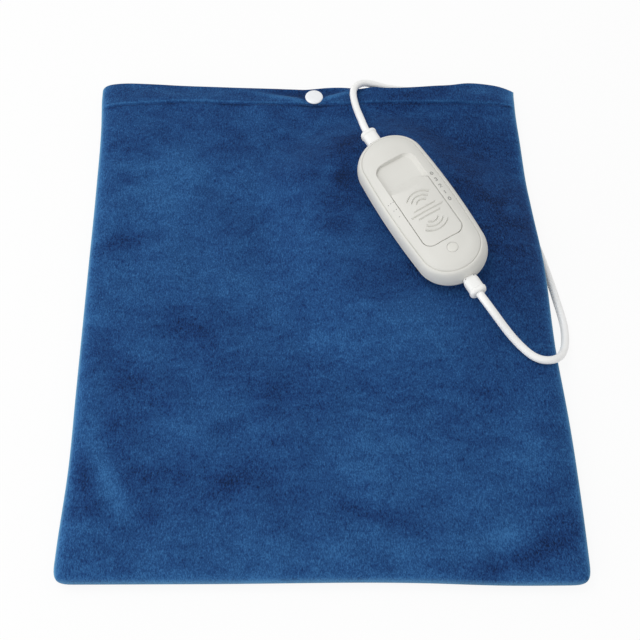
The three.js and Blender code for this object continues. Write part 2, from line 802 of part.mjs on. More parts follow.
function topShellLevels() {
  const sideRise = shoulderHeight - partingTop;
  const side = sideShares.map(([inset, rise]) => [inset * shoulderInset, partingTop + rise * sideRise]);
  const groove = [
    [shoulderInset, shoulderHeight - grooveDepth],
    [shoulderInset + grooveWidth, shoulderHeight + grooveDepth],
  ];
  const crownRise = controllerHeight - shoulderHeight - grooveDepth;
  const halfWide = controllerWidth / 2;
  const crownLow = shoulderHeight + grooveDepth;
  const crown = crownShares.map(([inset, rise]) => [inset * halfWide, crownLow + rise * crownRise]);
  return [...side, ...groove, ...crown];
}

// Four mirrored places, in a fixed order
function corners(x, y) {
  return [[x, y], [-x, y], [-x, -y], [x, -y]];
}

function reliefWay(end) {
  const reach = 2 * (endReach - edgeInset);
  const way = block(reach, reliefNeckWidth + 2 * gap, reliefNeckHeight + 2 * gap, 0, 0, 0);
  return way.translate(end * (controllerLength / 2), 0, partingHeight - reliefNeckHeight / 2 - gap);
}

const screwSeat = screwHeadDepth + screwHeadHeight + gap;
const boardPosts = corners(boardLength / 2 - boardPostInset, boardWidth / 2 - boardPostInset);

function makeHousing(controller) {
  const baseLevels = baseShares.map(([inset, rise]) => [inset * edgeInset, rise * partingLow]);
  const hollow = [
    [edgeInset + wall, floorThickness],
    [wall + edgeInset * 0.2, floorThickness + wall],
    [wall, partingLow * 0.7],
    [wall, partingLow + overrun],
  ];
  let base = solid(stacked(baseLevels)).subtract(solid(stacked(hollow)));
  for (const [x, y] of corners(screwX, screwY)) {
    const post = upright(postDiameter + 2 * gap, partingLow - gap - floorThickness / 2, x, y, floorThickness / 2);
    const hole = upright(screwDiameter + 2 * gap, partingLow + overrun, x, y, -overrun);
    const seat = upright(screwHeadDiameter + 2 * gap, screwSeat + overrun, x, y, -overrun);
    base = base.add(solid(post)).subtract(unionOf(hole, seat));
  }
  for (const [x, y] of boardPosts) {
    const post = upright(boardPostDiameter, boardHeight - gap - floorThickness / 2, x, y, floorThickness / 2, 12);
    base = base.add(solid(post));
  }
  base = base.subtract(solid(reliefWay(1))).subtract(solid(reliefWay(-1)));
  addMesh(controller, "controller_base", geometryOf(base), shellGrey);

  const rise = roofLow - partingTop;
  const cavity = [[wall, partingTop - overrun]];
  cavity.push(...cavityShares.map(([inset, share]) => [wall + inset * shoulderInset, partingTop + share * rise]));
  let top = solid(stacked(topShellLevels())).subtract(solid(stacked(cavity)));
  for (const [x, y] of corners(screwX, screwY)) {
    const boss = upright(postDiameter, roofLow + roofThickness / 2 - partingTop - gap, x, y, partingTop + gap);
    const pilot = upright(screwDiameter + 2 * gap, screwLength, x, y, screwSeat);
    top = top.add(solid(boss)).subtract(solid(pilot));
  }
  const track = raised(roundedRectangle(trackLength, trackWidth, trackRadius), trackDepth + overrun, trackFloor);
  const slotLength = stemLength + switchTravel + 2 * trackClearance;
  const slotWidth = stemWidth + 2 * trackClearance;
  const slot = block(slotLength, slotWidth, roofThickness + 2 * overrun, 0, 0, roofLow - overrun);
  const lampHole = upright(lampDiameter + 2 * gap, controllerHeight, lampCentre, 0, partingTop);
  const cuts = unionOf(
    track.translate(trackCentre, 0, 0),
    slot.translate(gripCentre + switchTravel / 2, 0, 0),
    lampHole,
    reliefWay(1),
    reliefWay(-1),
  );
  addMesh(controller, "controller_face", geometryOf(top.subtract(cuts)), shellGrey);

  corners(screwX, screwY).forEach(([x, y], k) => {
    const tip = screwHeadDepth + screwHeadHeight + screwLength - 3 * gap;
    const radius = screwDiameter / 2;
    const screw = turned(
      [
        [0, screwHeadDepth],
        [screwHeadDiameter * 0.42, screwHeadDepth],
        [screwHeadDiameter / 2, screwHeadDepth + screwHeadHeight * 0.4],
        [screwHeadDiameter / 2, screwHeadDepth + screwHeadHeight],
        [radius, screwHeadDepth + screwHeadHeight],
        [radius, tip - screwDiameter],
        [0, tip],
      ],
      12,
    );
    addMesh(controller, "housing_screw_" + (k + 1), screw.translate(x, y, 0), steel);
  });
}

// Slider: a knob that fills the track, its carriage under the roof, and the wiper that bridges the pads
const knobFloor = trackFloor + gap;
const knobStart = trackCentre - trackLength / 2 + trackClearance;
const knobWidth = trackWidth - 2 * trackClearance;

function crownedProfile(height) {
  const half = knobWidth / 2;
  const top = controllerHeight + height;
  const steps = 6;
  const arch = [];
  for (let k = 0; k <= steps; k++) {
    const y = -half + (2 * half * k) / steps;
    arch.push([y, top - knobCrown * (y / half) ** 2]);
  }
  return polygon([[half, knobFloor], ...arch.reverse(), [-half, knobFloor]]);
}

function gripPlan() {
  const bars = [
    [0, 0.8],
    [gripSpacing, 0.58],
    [-gripSpacing, 0.58],
  ].map(([offset, share]) => {
    return block(gripWidth, knobWidth * share, trackDepth * 2, gripCentre + offset, 0, knobFloor);
  });
  const arcs = [];
  for (const side of [1, -1]) {
    for (let k = 0; k < 3; k++) {
      const radius = gripSpacing * (1.3 + k);
      const spread = Math.PI * (0.3 - 0.015 * k);
      const ring = new THREE.Shape();
      ring.absarc(0, 0, radius + gripWidth / 2, -spread, spread);
      ring.absarc(0, 0, radius - gripWidth / 2, spread, -spread, true);
      ring.closePath();
      const rib = raised(ring, trackDepth * 2, knobFloor, 8);
      if (side < 0) rib.rotateZ(Math.PI);
      arcs.push(rib.translate(gripCentre + side * gripSpacing * 1.6, 0, 0));
    }
  }
  return unionOf(...bars, ...arcs);
}

function makeSlider(controller) {
  const end = knobStart + knobLength;
  const rampStart = end - knobRamp;
  const low = knobFloor + knobLow;
  const high = controllerHeight + gripHeight + overrun;
  const side = new THREE.Shape();
  side.moveTo(knobStart, knobFloor);
  side.lineTo(end, knobFloor);
  side.lineTo(end, low);
  const ease = knobRamp * 0.4;
  side.bezierCurveTo(end - ease, low, rampStart + ease, controllerHeight, rampStart, controllerHeight);
  side.lineTo(rampStart - overrun, high);
  side.lineTo(knobStart, high);
  side.closePath();
  const outline = roundedRectangle(knobLength, knobWidth, trackRadius - trackClearance);
  const plan = raised(outline, 2 * trackDepth, knobFloor).translate(knobStart + knobLength / 2, 0, 0);
  const envelope = solid(across(side, trackWidth)).intersect(solid(plan));
  const crowned = (height) => solid(along(crownedProfile(height), knobLength + overrun, knobStart - overrun / 2));
  const plate = envelope.intersect(crowned(0));
  const raisedCrown = crowned(gripHeight);
  const grip = gripPlan().intersect(raisedCrown);
  const carriageTop = roofLow - gap;
  const stemLow = carriageTop - carriageThickness + gap;
  const stem = block(stemLength, stemWidth, knobFloor - stemLow + gap, gripCentre, 0, stemLow);
  addMesh(controller, "slider_knob", geometryOf(plate.add(grip).add(solid(stem))), shellGrey);

  const carriageLow = carriageTop - carriageThickness;
  const plate2 = block(carriageLength, carriageWidth, carriageThickness, gripCentre, 0, carriageLow);
  const [socketLength, socketWidth] = [stemLength + 2 * gap, stemWidth + 2 * gap];
  const socket = block(socketLength, socketWidth, 2 * carriageThickness, gripCentre, 0, stemLow - gap);
  const carriage = solid(plate2).subtract(solid(socket.translate(0, 0, -carriageThickness / 2)));
  addMesh(controller, "slider_carriage", geometryOf(carriage), partBlack);

  const wiperTop = carriageTop - carriageThickness - gap;
  const wiperLow = boardHeight + boardThickness + 2 * gap + padThickness;
  const half = carriageLength / 2;
  const t = wiperThickness;
  const wiper = polygon([
    [-half, wiperTop],
    [-half, wiperTop - t],
    [-half * 0.5, wiperTop - t],
    [-t, wiperLow],
    [t, wiperLow],
    [half * 0.5, wiperTop - t],
    [half, wiperTop - t],
    [half, wiperTop],
    [half * 0.5 - t, wiperTop],
    [0, wiperLow + t],
    [t - half * 0.5, wiperTop],
  ]);
  addMesh(controller, "contact_wiper", across(wiper, wiperWidth).translate(gripCentre, 0, 0), brass);
}

// Circuit board with the switch pads and the lamp on top, and the larger parts under it
function makeElectronics(controller) {
  const half = boardLength / 2;
  const tongue = boardBeyondLamp - lampCentre;
  const wide = boardWidth / 2;
  const narrow = boardTongueWidth / 2;
  const outline = polygon([
    [half, -wide],
    [half, wide],
    [-half, wide],
    [-half, narrow],
    [-tongue, narrow],
    [-tongue, -narrow],
    [-half, -narrow],
    [-half, -wide],
  ]);
  addMesh(controller, "circuit_board", raised(outline, boardThickness, boardHeight), boardGreen);

  const boardTop = boardHeight + boardThickness + gap;
  for (let k = 0; k <= switchSteps; k++) {
    const x = gripCentre + (switchTravel * k) / switchSteps;
    addMesh(controller, "switch_pad_" + k, block(padLength, padWidth, padThickness, x, 0, boardTop), brass);
  }

  const ledRadius = ledDiameter / 2;
  const led = turned(
    [
      [0, boardTop],
      [ledRadius * 1.15, boardTop],
      [ledRadius * 1.15, boardTop + ledHeight * 0.2],
      [ledRadius, boardTop + ledHeight * 0.2],
      [ledRadius, boardTop + ledHeight * 0.6],
      [ledRadius * 0.7, boardTop + ledHeight * 0.9],
      [0, boardTop + ledHeight],
    ],
    12,
  );
  addMesh(controller, "lamp_led", led.translate(lampCentre, 0, 0), glassClear);
  const lensRadius = lampDiameter / 2;
  const lensLow = boardTop + ledHeight + gap;
  const lens = turned([
    [0, lensLow],
    [lensRadius - lampFlange, lensLow],
    [lensRadius, lensLow + lampFlange],
    [lensRadius, controllerHeight - lampFlange * 0.3],
    [lensRadius * 0.92, controllerHeight],
    [0, controllerHeight],
  ]);
  addMesh(controller, "lamp_lens", lens.translate(lampCentre, 0, 0), lampWhite);

  const under = boardHeight - gap;
  const triacY = (terminalWidth + triacWidth) / 2 + gap;
  const capacitorLow = under - capacitorHeight;
  const parts = [
    ["capacitor", block(capacitorLength, capacitorWidth, capacitorHeight, 0, partSpacing / 2, capacitorLow)],
    ["triac", block(triacLength, triacWidth, triacHeight, -partSpacing * 1.6, triacY, under - triacHeight)],
    ["terminal_mains", terminal(-1, under)],
    ["terminal_pad", terminal(1, under)],
  ];
  for (const [name, geometry] of parts) addMesh(controller, name, geometry, partBlack);
  const fuseRadius = fuseDiameter / 2;
  const fuse = new THREE.CylinderGeometry(fuseRadius, fuseRadius, fuseLength, 16).rotateZ(Math.PI / 2);
  addMesh(controller, "fuse", fuse.translate(0, -partSpacing / 2, under - fuseRadius), glassClear);
}

function terminal(end, under) {
  const x = end * (boardLength / 2 - terminalLength / 2 - boardPostDiameter);
  return block(terminalLength, terminalWidth, terminalHeight, x, 0, under - terminalHeight);
}

// Strain relief: a block with a lip outside, a neck held between the shells, and a flange inside
const reliefEnd = controllerLength / 2 + gap + reliefLength;

function strainRelief() {
  const outside = controllerLength / 2 + gap;
  const inside = controllerLength / 2 - 1.7 * wall - gap;
  const neck = block(outside - inside + 2 * gap, reliefNeckWidth, reliefNeckHeight, 0, 0, 0);
  neck.translate((outside + inside) / 2, 0, -reliefNeckHeight / 2);
  const body = along(roundedRectangle(reliefWidth, reliefHeight, reliefRadius), reliefLength, outside);
  const [lipWidth, lipHeight] = [reliefWidth + 2 * reliefLip, reliefHeight + 2 * reliefLip];
  const lipShape = roundedRectangle(lipWidth, lipHeight, reliefRadius + reliefLip);
  const lip = along(lipShape, reliefLipLength, reliefEnd - reliefLipLength * 1.4);
  const flange = block(reliefFlange, reliefWidth, reliefHeight, inside - reliefFlange / 2, 0, -reliefHeight / 2);
  return unionOf(neck, body, lip, flange);
}

function makeReliefs(controller) {
  const relief = geometryOf(strainRelief()).translate(0, 0, partingHeight);
  addMesh(controller, "strain_relief_pad", relief, cordWhite);
  addMesh(controller, "strain_relief_mains", relief.clone().rotateZ(Math.PI), cordWhite);
}

function makeController() {
  const leaning = new THREE.Group();
  leaning.position.set(controllerX, controllerY, controllerSeat + partingHeight);
  leaning.rotation.set(-controllerLean, 0, controllerTurn, "ZYX");
  part.add(leaning);
  const controller = new THREE.Group();
  controller.position.set(0, 0, -partingHeight);
  leaning.add(controller);
  makeHousing(controller);
  makeSlider(controller);
  makeElectronics(controller);
  makeReliefs(controller);
}

// How far from the controller the cover's edge is, and how far out a lead still follows its strain relief
const edgeReach = 87.3;
const reliefReach = 60;

// Keeps the loop round the cover's edge at its distance from that edge
function roundEdge(places) {
  const shift = halfWidth - controllerX - edgeReach;
  const share = (x) => THREE.MathUtils.smoothstep(x, edgeReach * 0.45, edgeReach);
  return places.map(([x, y, z]) => [x + shift * share(x), y, z]);
}

// Starts a lead at its strain relief, and lays it on the cover
function fromRelief(places) {
  const [startX, startY] = places[0];
  const stretch = (reliefEnd + 2 * gap) / Math.hypot(startX, startY) - 1;
  return places.map(([x, y, z]) => {
    const away = Math.hypot(x - startX, y - startY);
    const share = stretch * (1 - THREE.MathUtils.smoothstep(away, 0, reliefReach));
    return [controllerX + x + share * startX, controllerY + y + share * startY, z];
  });
}

// Free stretches of cord, through points chosen by hand from the middle of the controller
const padLeadPoints = [
  [-34.67, 69.54, 38.44],
  [-36.35, 73.4, 38.3],
  [-37.66, 81.85, 36],
  [-38.95, 90.18, 32.2],
  [-39.96, 99.38, 27.3],
  [-40.78, 108.69, 22.4],
  [-41.38, 117.29, 18.4],
  [-41.77, 125.21, 15.7],
  [-41.3, 134.6, 13.1],
  [-38.5, 139.4, 12.5],
  [-34.4, 142.7, 11.7],
  [-29.5, 144.5, 10.2],
  [-24.2, 144.5, 8.6],
  [-18.2, 143.2, 7.2],
  [-11.2, 141.9, 6.6],
  [-2.7, 140.3, 6.55],
  [5.3, 138.1, 6.55],
  [12.3, 135.8, 6.55],
  [18.3, 133.4, 6.55],
  [24.5, 130.7, 6.55],
  [30.6, 127.4, 6.55],
  [34.3, 124.3, 6.55],
  [36.3, 121.2, 6.45],
  [37.1, 118.7, 6.2],
  [37.3, 116.55, 6.05],
];
const mainsLeadPoints = [
  [34.67, -69.54, 38.44],
  [37.65, -74.4, 37.8],
  [42.31, -79.99, 34.8],
  [47.16, -84.77, 30.2],
  [52.38, -89.43, 25.2],
  [58.06, -94.37, 20.6],
  [64.47, -99.68, 17],
  [72.3, -105.5, 14.6],
  [79.5, -106.6, 13.9],
  [84.3, -105.2, 12.5],
  [88.1, -102.6, 10.2],
  [91.3, -99, 7.4],
  [93.8, -94.6, 5],
  [95.7, -89, 3.4],
  [96.8, -82.5, 2.8],
  [97.2, -75, 2.75],
  [96.6, -67, 2.75],
  [95, -57, 2.75],
  [93.4, -45.5, 2.75],
  [91.1, -32.1, 2.75],
  [88.9, -20, 2.75],
  [86.5, -8, 2.75],
  [81.1, 5, 2.75],
  [71.7, 15.86, 2.75],
  [58.32, 23.61, 2.75],
  [41.35, 25.78, 2.75],
  [25.38, 23.96, 2.8],
  [14.89, 21.92, 3.4],
  [7.32, 21.64, 3.6],
];

// The cord between the coil and the plug, along and across the controller
const plugTailPoints = [
  [-13.8, -34.65, 9.5],
  [-8, -34.65, 9.5],
  [2, -34.65, 9.45],
  [11, -34.65, 9.3],
  [20, -34.65, 8.8],
  [31.6, -32.9, 8],
  [39.4, -27.7, 7.3],
  [44.6, -19.9, 6.85],
  [46.2, -14.2, 6.75],
  [46.4, -10.05, 6.75],
];

function cordAlong(places, steps) {
  const path = new THREE.CatmullRomCurve3(places.map(([x, y, z]) => new THREE.Vector3(x, y, z)));
  const section = new THREE.Shape();
  const sides = 8;
  for (let k = 0; k < sides; k++) {
    const angle = (2 * Math.PI * k) / sides;
    const corner = [cordRadius * Math.cos(angle), cordRadius * Math.sin(angle)];
    if (k === 0) section.moveTo(...corner);
    else section.lineTo(...corner);
  }
  section.closePath();
  return new THREE.ExtrudeGeometry(section, { steps, extrudePath: path, bevelEnabled: false });
}

// Coil: it spirals in on the lower layer, climbs over half a turn, and spirals out on the upper one
function coilPlaces() {
  const count = Math.round(coilTurns * 24);
  const startAngle = Math.PI / 2 - controllerTurn;
  const places = [];
  for (let k = 0; k <= count; k++) {
    const turns = (coilTurns * k) / count;
    const fromMiddle = turns - coilTurns / 2;
    const radius = coilInner + coilPitch * Math.abs(fromMiddle);
    const climb = THREE.MathUtils.smoothstep(fromMiddle, -0.25, 0.25);
    const angle = startAngle + 2 * Math.PI * turns;
    const height = THREE.MathUtils.lerp(coilLow, coilHigh, climb);
    places.push(new THREE.Vector3(radius * Math.cos(angle), radius * Math.sin(angle), height));
  }
  const straight = (place, turns, length) => {
    const angle = startAngle + 2 * Math.PI * turns;
    return place.clone().add(new THREE.Vector3(-Math.sin(angle), Math.cos(angle), 0).multiplyScalar(length));
  };
  return [straight(places[0], 0, -cordDiameter), ...places, straight(places[count], coilTurns, cordDiameter)];
}

// The least clear distance between one turn of the coil and the others, measured on its points
function leastGap(places) {
  let least = Infinity;
  places.forEach((place, k) => {
    for (let other = k + 12; other < places.length; other++) {
      least = Math.min(least, place.distanceTo(places[other]) - cordDiameter);
    }
  });
  return least;
}

function makeTie() {
  const height = coilTop + gap + tieThickness;
  const middle = (coilInner + coilOuter) / 2;
  const reach = coilOuter - coilInner + cordDiameter + 2 * coilPitch * 0.3;
  const frame = roundedRectangle(reach + 2 * tieThickness, height, tieThickness * 2);
  const hole = roundedRectangle(reach, height - 2 * tieThickness, tieThickness);
  const band = solid(across(frame, tieWidth)).subtract(solid(across(hole, tieWidth + overrun)));
  return geometryOf(band).translate(-middle, 0, height / 2);
}

function makePlug(group) {
  const rear = bootDiameter / 2 + gap;
  const front = plugWidth / 2;
  const plan = new THREE.Shape();
  const [flare, swell, shoulder] = [0.35, 0.4, 0.75].map((share) => bootLength + plugLength * share);
  plan.moveTo(bootLength, -rear);
  plan.bezierCurveTo(swell, -rear, flare, -front, shoulder, -front);
  plan.lineTo(bootLength + plugLength, -front * 0.94);
  plan.lineTo(bootLength + plugLength, front * 0.94);
  plan.lineTo(shoulder, front);
  plan.bezierCurveTo(flare, front, swell, rear, bootLength, rear);
  const half = plugThickness / 2;
  const side = polygon([
    [bootLength, -half * 0.62],
    [bootLength + plugLength * 0.45, -half],
    [bootLength + plugLength, -half * 0.95],
    [bootLength + plugLength, half * 0.95],
    [bootLength + plugLength * 0.45, half],
    [bootLength, half * 0.62],
  ]);
  const blank = solid(raised(plan, plugThickness + overrun, -half - overrun / 2, 8));
  const body = blank.intersect(solid(across(side, plugWidth + overrun)));
  addMesh(group, "plug_body", geometryOf(body), cordWhite);

  const bootRadius = bootDiameter / 2;
  const ribs = 4;
  const profile = [[0, 0], [cordRadius + gap, 0]];
  for (let k = 0; k < ribs; k++) {
    const from = (bootLength * (k + 0.3)) / ribs;
    const to = (bootLength * (k + 0.8)) / ribs;
    const radius = THREE.MathUtils.lerp(cordRadius + 2 * gap, bootRadius, (k + 1) / ribs);
    profile.push([radius - gap, from], [radius, (from + to) / 2], [radius - gap, to]);
  }
  profile.push([bootRadius - gap, bootLength - gap], [0, bootLength - gap]);
  addMesh(group, "plug_boot", turned(profile, 12).rotateY(Math.PI / 2), cordWhite);

  for (const [name, place] of [["plug_pin_left", 1], ["plug_pin_right", -1]]) {
    const radius = pinDiameter / 2;
    const profile = [[0, 0], [radius, 0], [radius, pinLength - radius], [radius * 0.6, pinLength], [0, pinLength]];
    const pin = turned(profile, 12);
    pin.rotateY(Math.PI / 2).translate(bootLength + plugLength + gap, (place * pinSpacing) / 2, 0);
    addMesh(group, name, pin, brass);
  }
}

function makeCords() {
  addMesh(part, "pad_lead", cordAlong(fromRelief(padLeadPoints), 32), cordWhite);
  addMesh(part, "mains_lead", cordAlong(fromRelief(roundEdge(mainsLeadPoints)), 44), cordWhite);

  const lying = new THREE.Group();
  lying.position.set(controllerX, controllerY, 0);
  lying.rotation.z = controllerTurn;
  part.add(lying);
  addMesh(lying, "plug_tail", cordAlong(plugTailPoints, 12), cordWhite);
  const coil = new THREE.Group();
  coil.position.set(coilAlong, coilAcross, 0);
  lying.add(coil);
  const places = coilPlaces();
  console.log("least gap in the coil, mm:", leastGap(places).toFixed(2));
  addMesh(coil, "mains_coil", tubeThrough(places, cordRadius, 6), cordWhite);
  addMesh(coil, "coil_tie", makeTie(), partBlack);

  const plug = new THREE.Group();
  plug.position.set(plugAlong, plugAcross, plugThickness / 2);
  plug.rotation.z = Math.PI / 2;
  lying.add(plug);
  makePlug(plug);
}

makeCover();
makeHems();
makeSnap();
makeInnerPad();
makeHeater();
makeController();
makeCords();

export default part;
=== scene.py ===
"""Dresses the CAD frame of a heating pad: plush cover, hand controller, cords, lights and camera."""

import math

import bpy
import numpy as np
from bpy.props import FloatProperty, FloatVectorProperty, PointerProperty
from bpy.types import Operator, Panel, PropertyGroup
from mathutils import Matrix, Vector, geometry


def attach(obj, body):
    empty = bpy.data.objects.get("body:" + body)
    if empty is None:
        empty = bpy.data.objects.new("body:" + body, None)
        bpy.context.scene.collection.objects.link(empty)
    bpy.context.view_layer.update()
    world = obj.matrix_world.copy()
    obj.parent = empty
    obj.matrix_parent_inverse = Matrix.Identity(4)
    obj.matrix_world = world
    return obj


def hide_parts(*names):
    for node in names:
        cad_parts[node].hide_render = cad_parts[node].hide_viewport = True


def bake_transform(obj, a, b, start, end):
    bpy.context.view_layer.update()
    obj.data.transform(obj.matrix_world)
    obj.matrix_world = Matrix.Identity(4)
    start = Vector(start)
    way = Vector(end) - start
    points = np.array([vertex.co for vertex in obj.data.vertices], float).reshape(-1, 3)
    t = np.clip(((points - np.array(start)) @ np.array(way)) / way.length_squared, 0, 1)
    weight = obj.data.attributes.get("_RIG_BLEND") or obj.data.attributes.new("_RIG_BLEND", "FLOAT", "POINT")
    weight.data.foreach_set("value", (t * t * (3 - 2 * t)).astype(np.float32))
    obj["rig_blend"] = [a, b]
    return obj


bl_info = {
    "name": "Heating pad with controller",
    "version": (1, 0, 0),
    "blender": (4, 5, 0),
    "location": "3D View > Sidebar > Heating Pad",
    "description": "Builds the visible pieces of a heating pad over its CAD frame",
    "category": "Object",
}

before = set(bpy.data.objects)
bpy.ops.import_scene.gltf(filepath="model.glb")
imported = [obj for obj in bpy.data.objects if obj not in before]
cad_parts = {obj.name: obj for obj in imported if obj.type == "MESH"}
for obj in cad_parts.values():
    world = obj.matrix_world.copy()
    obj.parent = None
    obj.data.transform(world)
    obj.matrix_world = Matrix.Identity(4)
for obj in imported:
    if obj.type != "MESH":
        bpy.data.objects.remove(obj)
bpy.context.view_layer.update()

MM = 0.001

# Cover, in millimetres
HALF_WIDTH = 160.0
HALF_LENGTH = 200.0
EDGE_ROUND = 16.0
CORNER_POWER = 4
MOUTH_CORNER = 6.5
HEM_LINE = 174.7
HEM_THICKNESS = 3.4
LIP_GAP = 0.8
FRONT_LOW = 8.6
FRONT_TOP = 11.0
PLUSH = 2.4
SEAM_LEVEL = 5.5
LEAD_HEM_LOW = 9.7
SNAP_X = 1.0
SNAP_Y = 182.1
SNAP_SEAT = 9.9
SNAP_RADIUS = 6.8
INNER_TOP = 156.7
INNER_HALF_WIDTH = 149.0
INNER_LOW = 189.0
WIRE_HALF_WIDTH = 144.0
WIRE_RUNS = 13
INNER_EDGE_STEPS = (0, 0.8, 2.5)
LAYER_THICKNESS = 1.65
SEAM_APART = 0.1
CLOTH_EDGE = 0.9

# Topstitching: its ends, a thread's share of the pitch, and how it lies in the plush
STITCHES_FROM = -154.0
STITCHES_TO = 150
STITCH_SHARE = 0.78
THREAD_RADIUS = 0.32
THREAD_SINK = 1.05
THREAD_ARCH = 0.5

# Where each fold beside the snap would start at the snap, and its slope, left and right
SNAP_FOLDS = ((176.2, 0.28), (176.6, -0.50))

# Where the lip bends, in metres, and where the bend fades out at its sides, in millimetres
LIP_FOLD_START = 0.170
LIP_FOLD_END = 0.178
LIP_FOLD_HEIGHT = 0.011
LIP_LEFT = (-88, -55)
LIP_RIGHT = (12, 27)

# Coil and plug that lie under the cover, in the controller's directions
COIL_ALONG = -19.5
COIL_ACROSS = 8.0
COIL_INNER = 22.2
COIL_PITCH = 6.0
COIL_TURNS = 6.8176
COIL_LOW = 3.6
COIL_HIGH = 9.5
PLUG_ALONG = 46.4
PLUG_MIDDLE = 14.4
LIFT_HEIGHT = 14.2
CORD_RADIUS = 2.7
CLOTH_ROOM = 9.0
COIL_SLOPE = 62.0
PLUG_SLOPE = 48.0
PLUG_HALF_LENGTH = 17.65
PLUG_HALF_WIDTH = 24.0

# Controller, in millimetres and in its own directions
CONTROLLER_X = 72.7
CONTROLLER_Y = 54.0
CONTROLLER_TURN = math.radians(116.5)
CONTROLLER_LEAN = math.radians(11.5)
CONTROLLER_SEAT = 28.69
HALF_SPINE = 40.0
END_REACH = 24.0
HALF_BODY = 26.5
SIDE_BOW = 1.4
PARTING = 9.75
TOP = 23.2
TRACK_CENTRE = 1.2
TRACK_LENGTH = 75.5
TRACK_WIDTH = 30.1
TRACK_RADIUS = 7.0
TRACK_FLOOR = 20.4
ROOF_LOW = 18.6
KNOB_START = -36.15
KNOB_LENGTH = 54.4
KNOB_FLOOR = 20.52
GRIP_CENTRE = -9.9
GRIP_SPACING = 3.4
LAMP_CENTRE = -43.9
LAMP_RADIUS = 3.7
RELIEF_START = 64.3
EDGE_INSET = 10.5
SCREW_PLACES = ((43.5, 11), (-43.5, 11), (-43.5, -11), (43.5, -11))
SCREW_HOLE = 2.95
SCREW_BORE = 1.7
WALL = 2.2
FLOOR_THICKNESS = 2.0
KNOB_CLEARANCE = 0.4
RAMP_LENGTH = 8.5
STEM = (6, 7, 0.6)
STEM_LOW = 16.6
STEM_SLOT = (25.2, 7.8, 1)
STEM_SLOT_MIDDLE = (-0.7, 0)

# The track's wall slants in on the scale's side, by this much at its floor and at its rim
SLANT_LOW = 3.2
SLANT_HIGH = 0.22
SLANT_TOP = 22.2

# Scale: row of its figures, width of a stroke, height of the ink, and the dots on the other side
SCALE_ROW = 17.8
STROKE = 0.44
THIN_STROKE = 0.36
INK_HEIGHT = 0.03
DOT_PITCH = 1.9
SCALE_FIGURES = (("0", -9.9), ("1", -3.8), ("2", 2.3), ("3", 8.4))
DOT_GROUPS = ((8.4, 3), (2.3, 2), (-3.8, 1))
LAMP_SIGN = 14.2

# Route of the lead from the controller into the mouth of the cover
PAD_LEAD = (
    (38.03, 123.54, 38.44),
    (36.35, 127.4, 38.3),
    (35.04, 135.85, 36),
    (33.75, 144.18, 32.2),
    (32.74, 153.38, 27.3),
    (31.92, 162.69, 22.4),
    (31.32, 171.29, 18.4),
    (30.93, 179.21, 15.7),
    (31.4, 188.6, 13.1),
    (34.2, 193.4, 12.5),
    (38.3, 196.3, 11.7),
    (43.2, 197.3, 10.2),
    (48.5, 197.0, 8.6),
    (54.5, 195.7, 7.2),
    (61.5, 194.5, 6.6),
    (70, 193.2, 6.55),
    (78, 192.1, 6.55),
    (85, 189.8, 6.55),
    (91, 187.4, 6.55),
    (97.2, 184.7, 6.55),
    (103.3, 181.4, 6.55),
    (107, 178.3, 6.55),
    (109, 175.2, 6.45),
    (109.8, 172.7, 6.2),
    (110, 170.55, 6.05),
)

# Route of the mains lead from the controller to the coil
MAINS_LEAD = (
    (107.37, -15.54, 38.44),
    (110.35, -20.4, 37.8),
    (115.01, -25.99, 34.8),
    (119.86, -30.77, 30.2),
    (125.08, -35.43, 25.2),
    (130.76, -40.37, 20.6),
    (137.17, -45.68, 17),
    (145, -51.5, 14.6),
    (152.2, -52.6, 13.9),
    (157, -51.2, 12.5),
    (160.8, -48.6, 10.2),
    (164, -45, 7.4),
    (166.5, -40.6, 5),
    (168.4, -35, 3.4),
    (169.5, -28.5, 2.8),
    (169.9, -21, 2.75),
    (169.3, -13, 2.75),
    (167.7, -3, 2.75),
    (166.1, 8.5, 2.75),
    (163.8, 21.9, 2.75),
    (161.6, 34, 2.75),
    (159.2, 46, 2.75),
    (153.8, 59, 2.75),
    (144.4, 69.86, 2.75),
    (131.02, 77.61, 2.75),
    (114.05, 79.78, 2.75),
    (98.08, 77.96, 2.8),
    (87.59, 75.92, 3.4),
    (80.02, 75.64, 3.6),
)

# Route from the coil to the plug, along and across the controller
PLUG_TAIL = (
    (-13.8, -34.65, 9.5),
    (-8, -34.65, 9.5),
    (2, -34.65, 9.45),
    (11, -34.65, 9.3),
    (20, -34.65, 8.8),
    (31.6, -32.9, 8),
    (39.4, -27.7, 7.3),
    (44.6, -19.9, 6.85),
    (46.2, -14.2, 6.75),
    (46.4, -10.05, 6.75),
)

# Outline of the cover as it lies: places along each edge, and where the edge is there
LEFT_EDGE = (
    (-200, -160.5), (-176, -159.9), (-124, -157.9), (-67, -158.3), (27, -159.0),
    (97, -159.5), (154, -160.7), (188, -162.8), (200, -163.2),
)
RIGHT_EDGE = (
    (-200, 162.6), (-154, 163.4), (-99, 163.2), (-40, 161.0), (-8, 160.2),
    (25, 159.3), (59, 157.7), (133, 156.5), (187, 156.9), (200, 158.2),
)
BOTTOM_EDGE = ((-160, -197.3), (-69, -198.0), (60, -198.9), (110, -201.0), (160, -201.4))
MOUTH_EDGE = (
    (-160, 200.4), (-152, 200.3), (-139, 200.5), (-120, 199.5), (-101, 198.0), (-80, 196.9),
    (-60, 195.9), (-36, 195.1), (-14, 194.2), (-5, 193.8), (2, 194.4), (10, 195.6),
    (22, 196.0), (38, 193.9), (52, 191.0), (66, 190.7), (80, 191.4), (95, 192.6),
    (110, 193.7), (122, 196.4), (135, 197.6), (147, 196.7), (156, 193.9), (160, 192.5),
)
STITCH_LINE = (
    (-160, 173.0), (-140, 174.6), (-99, 177.0), (-60, 175.8), (-40, 175.1), (0, 174.6),
    (67, 174.9), (110, 174.5), (160, 173.4),
)

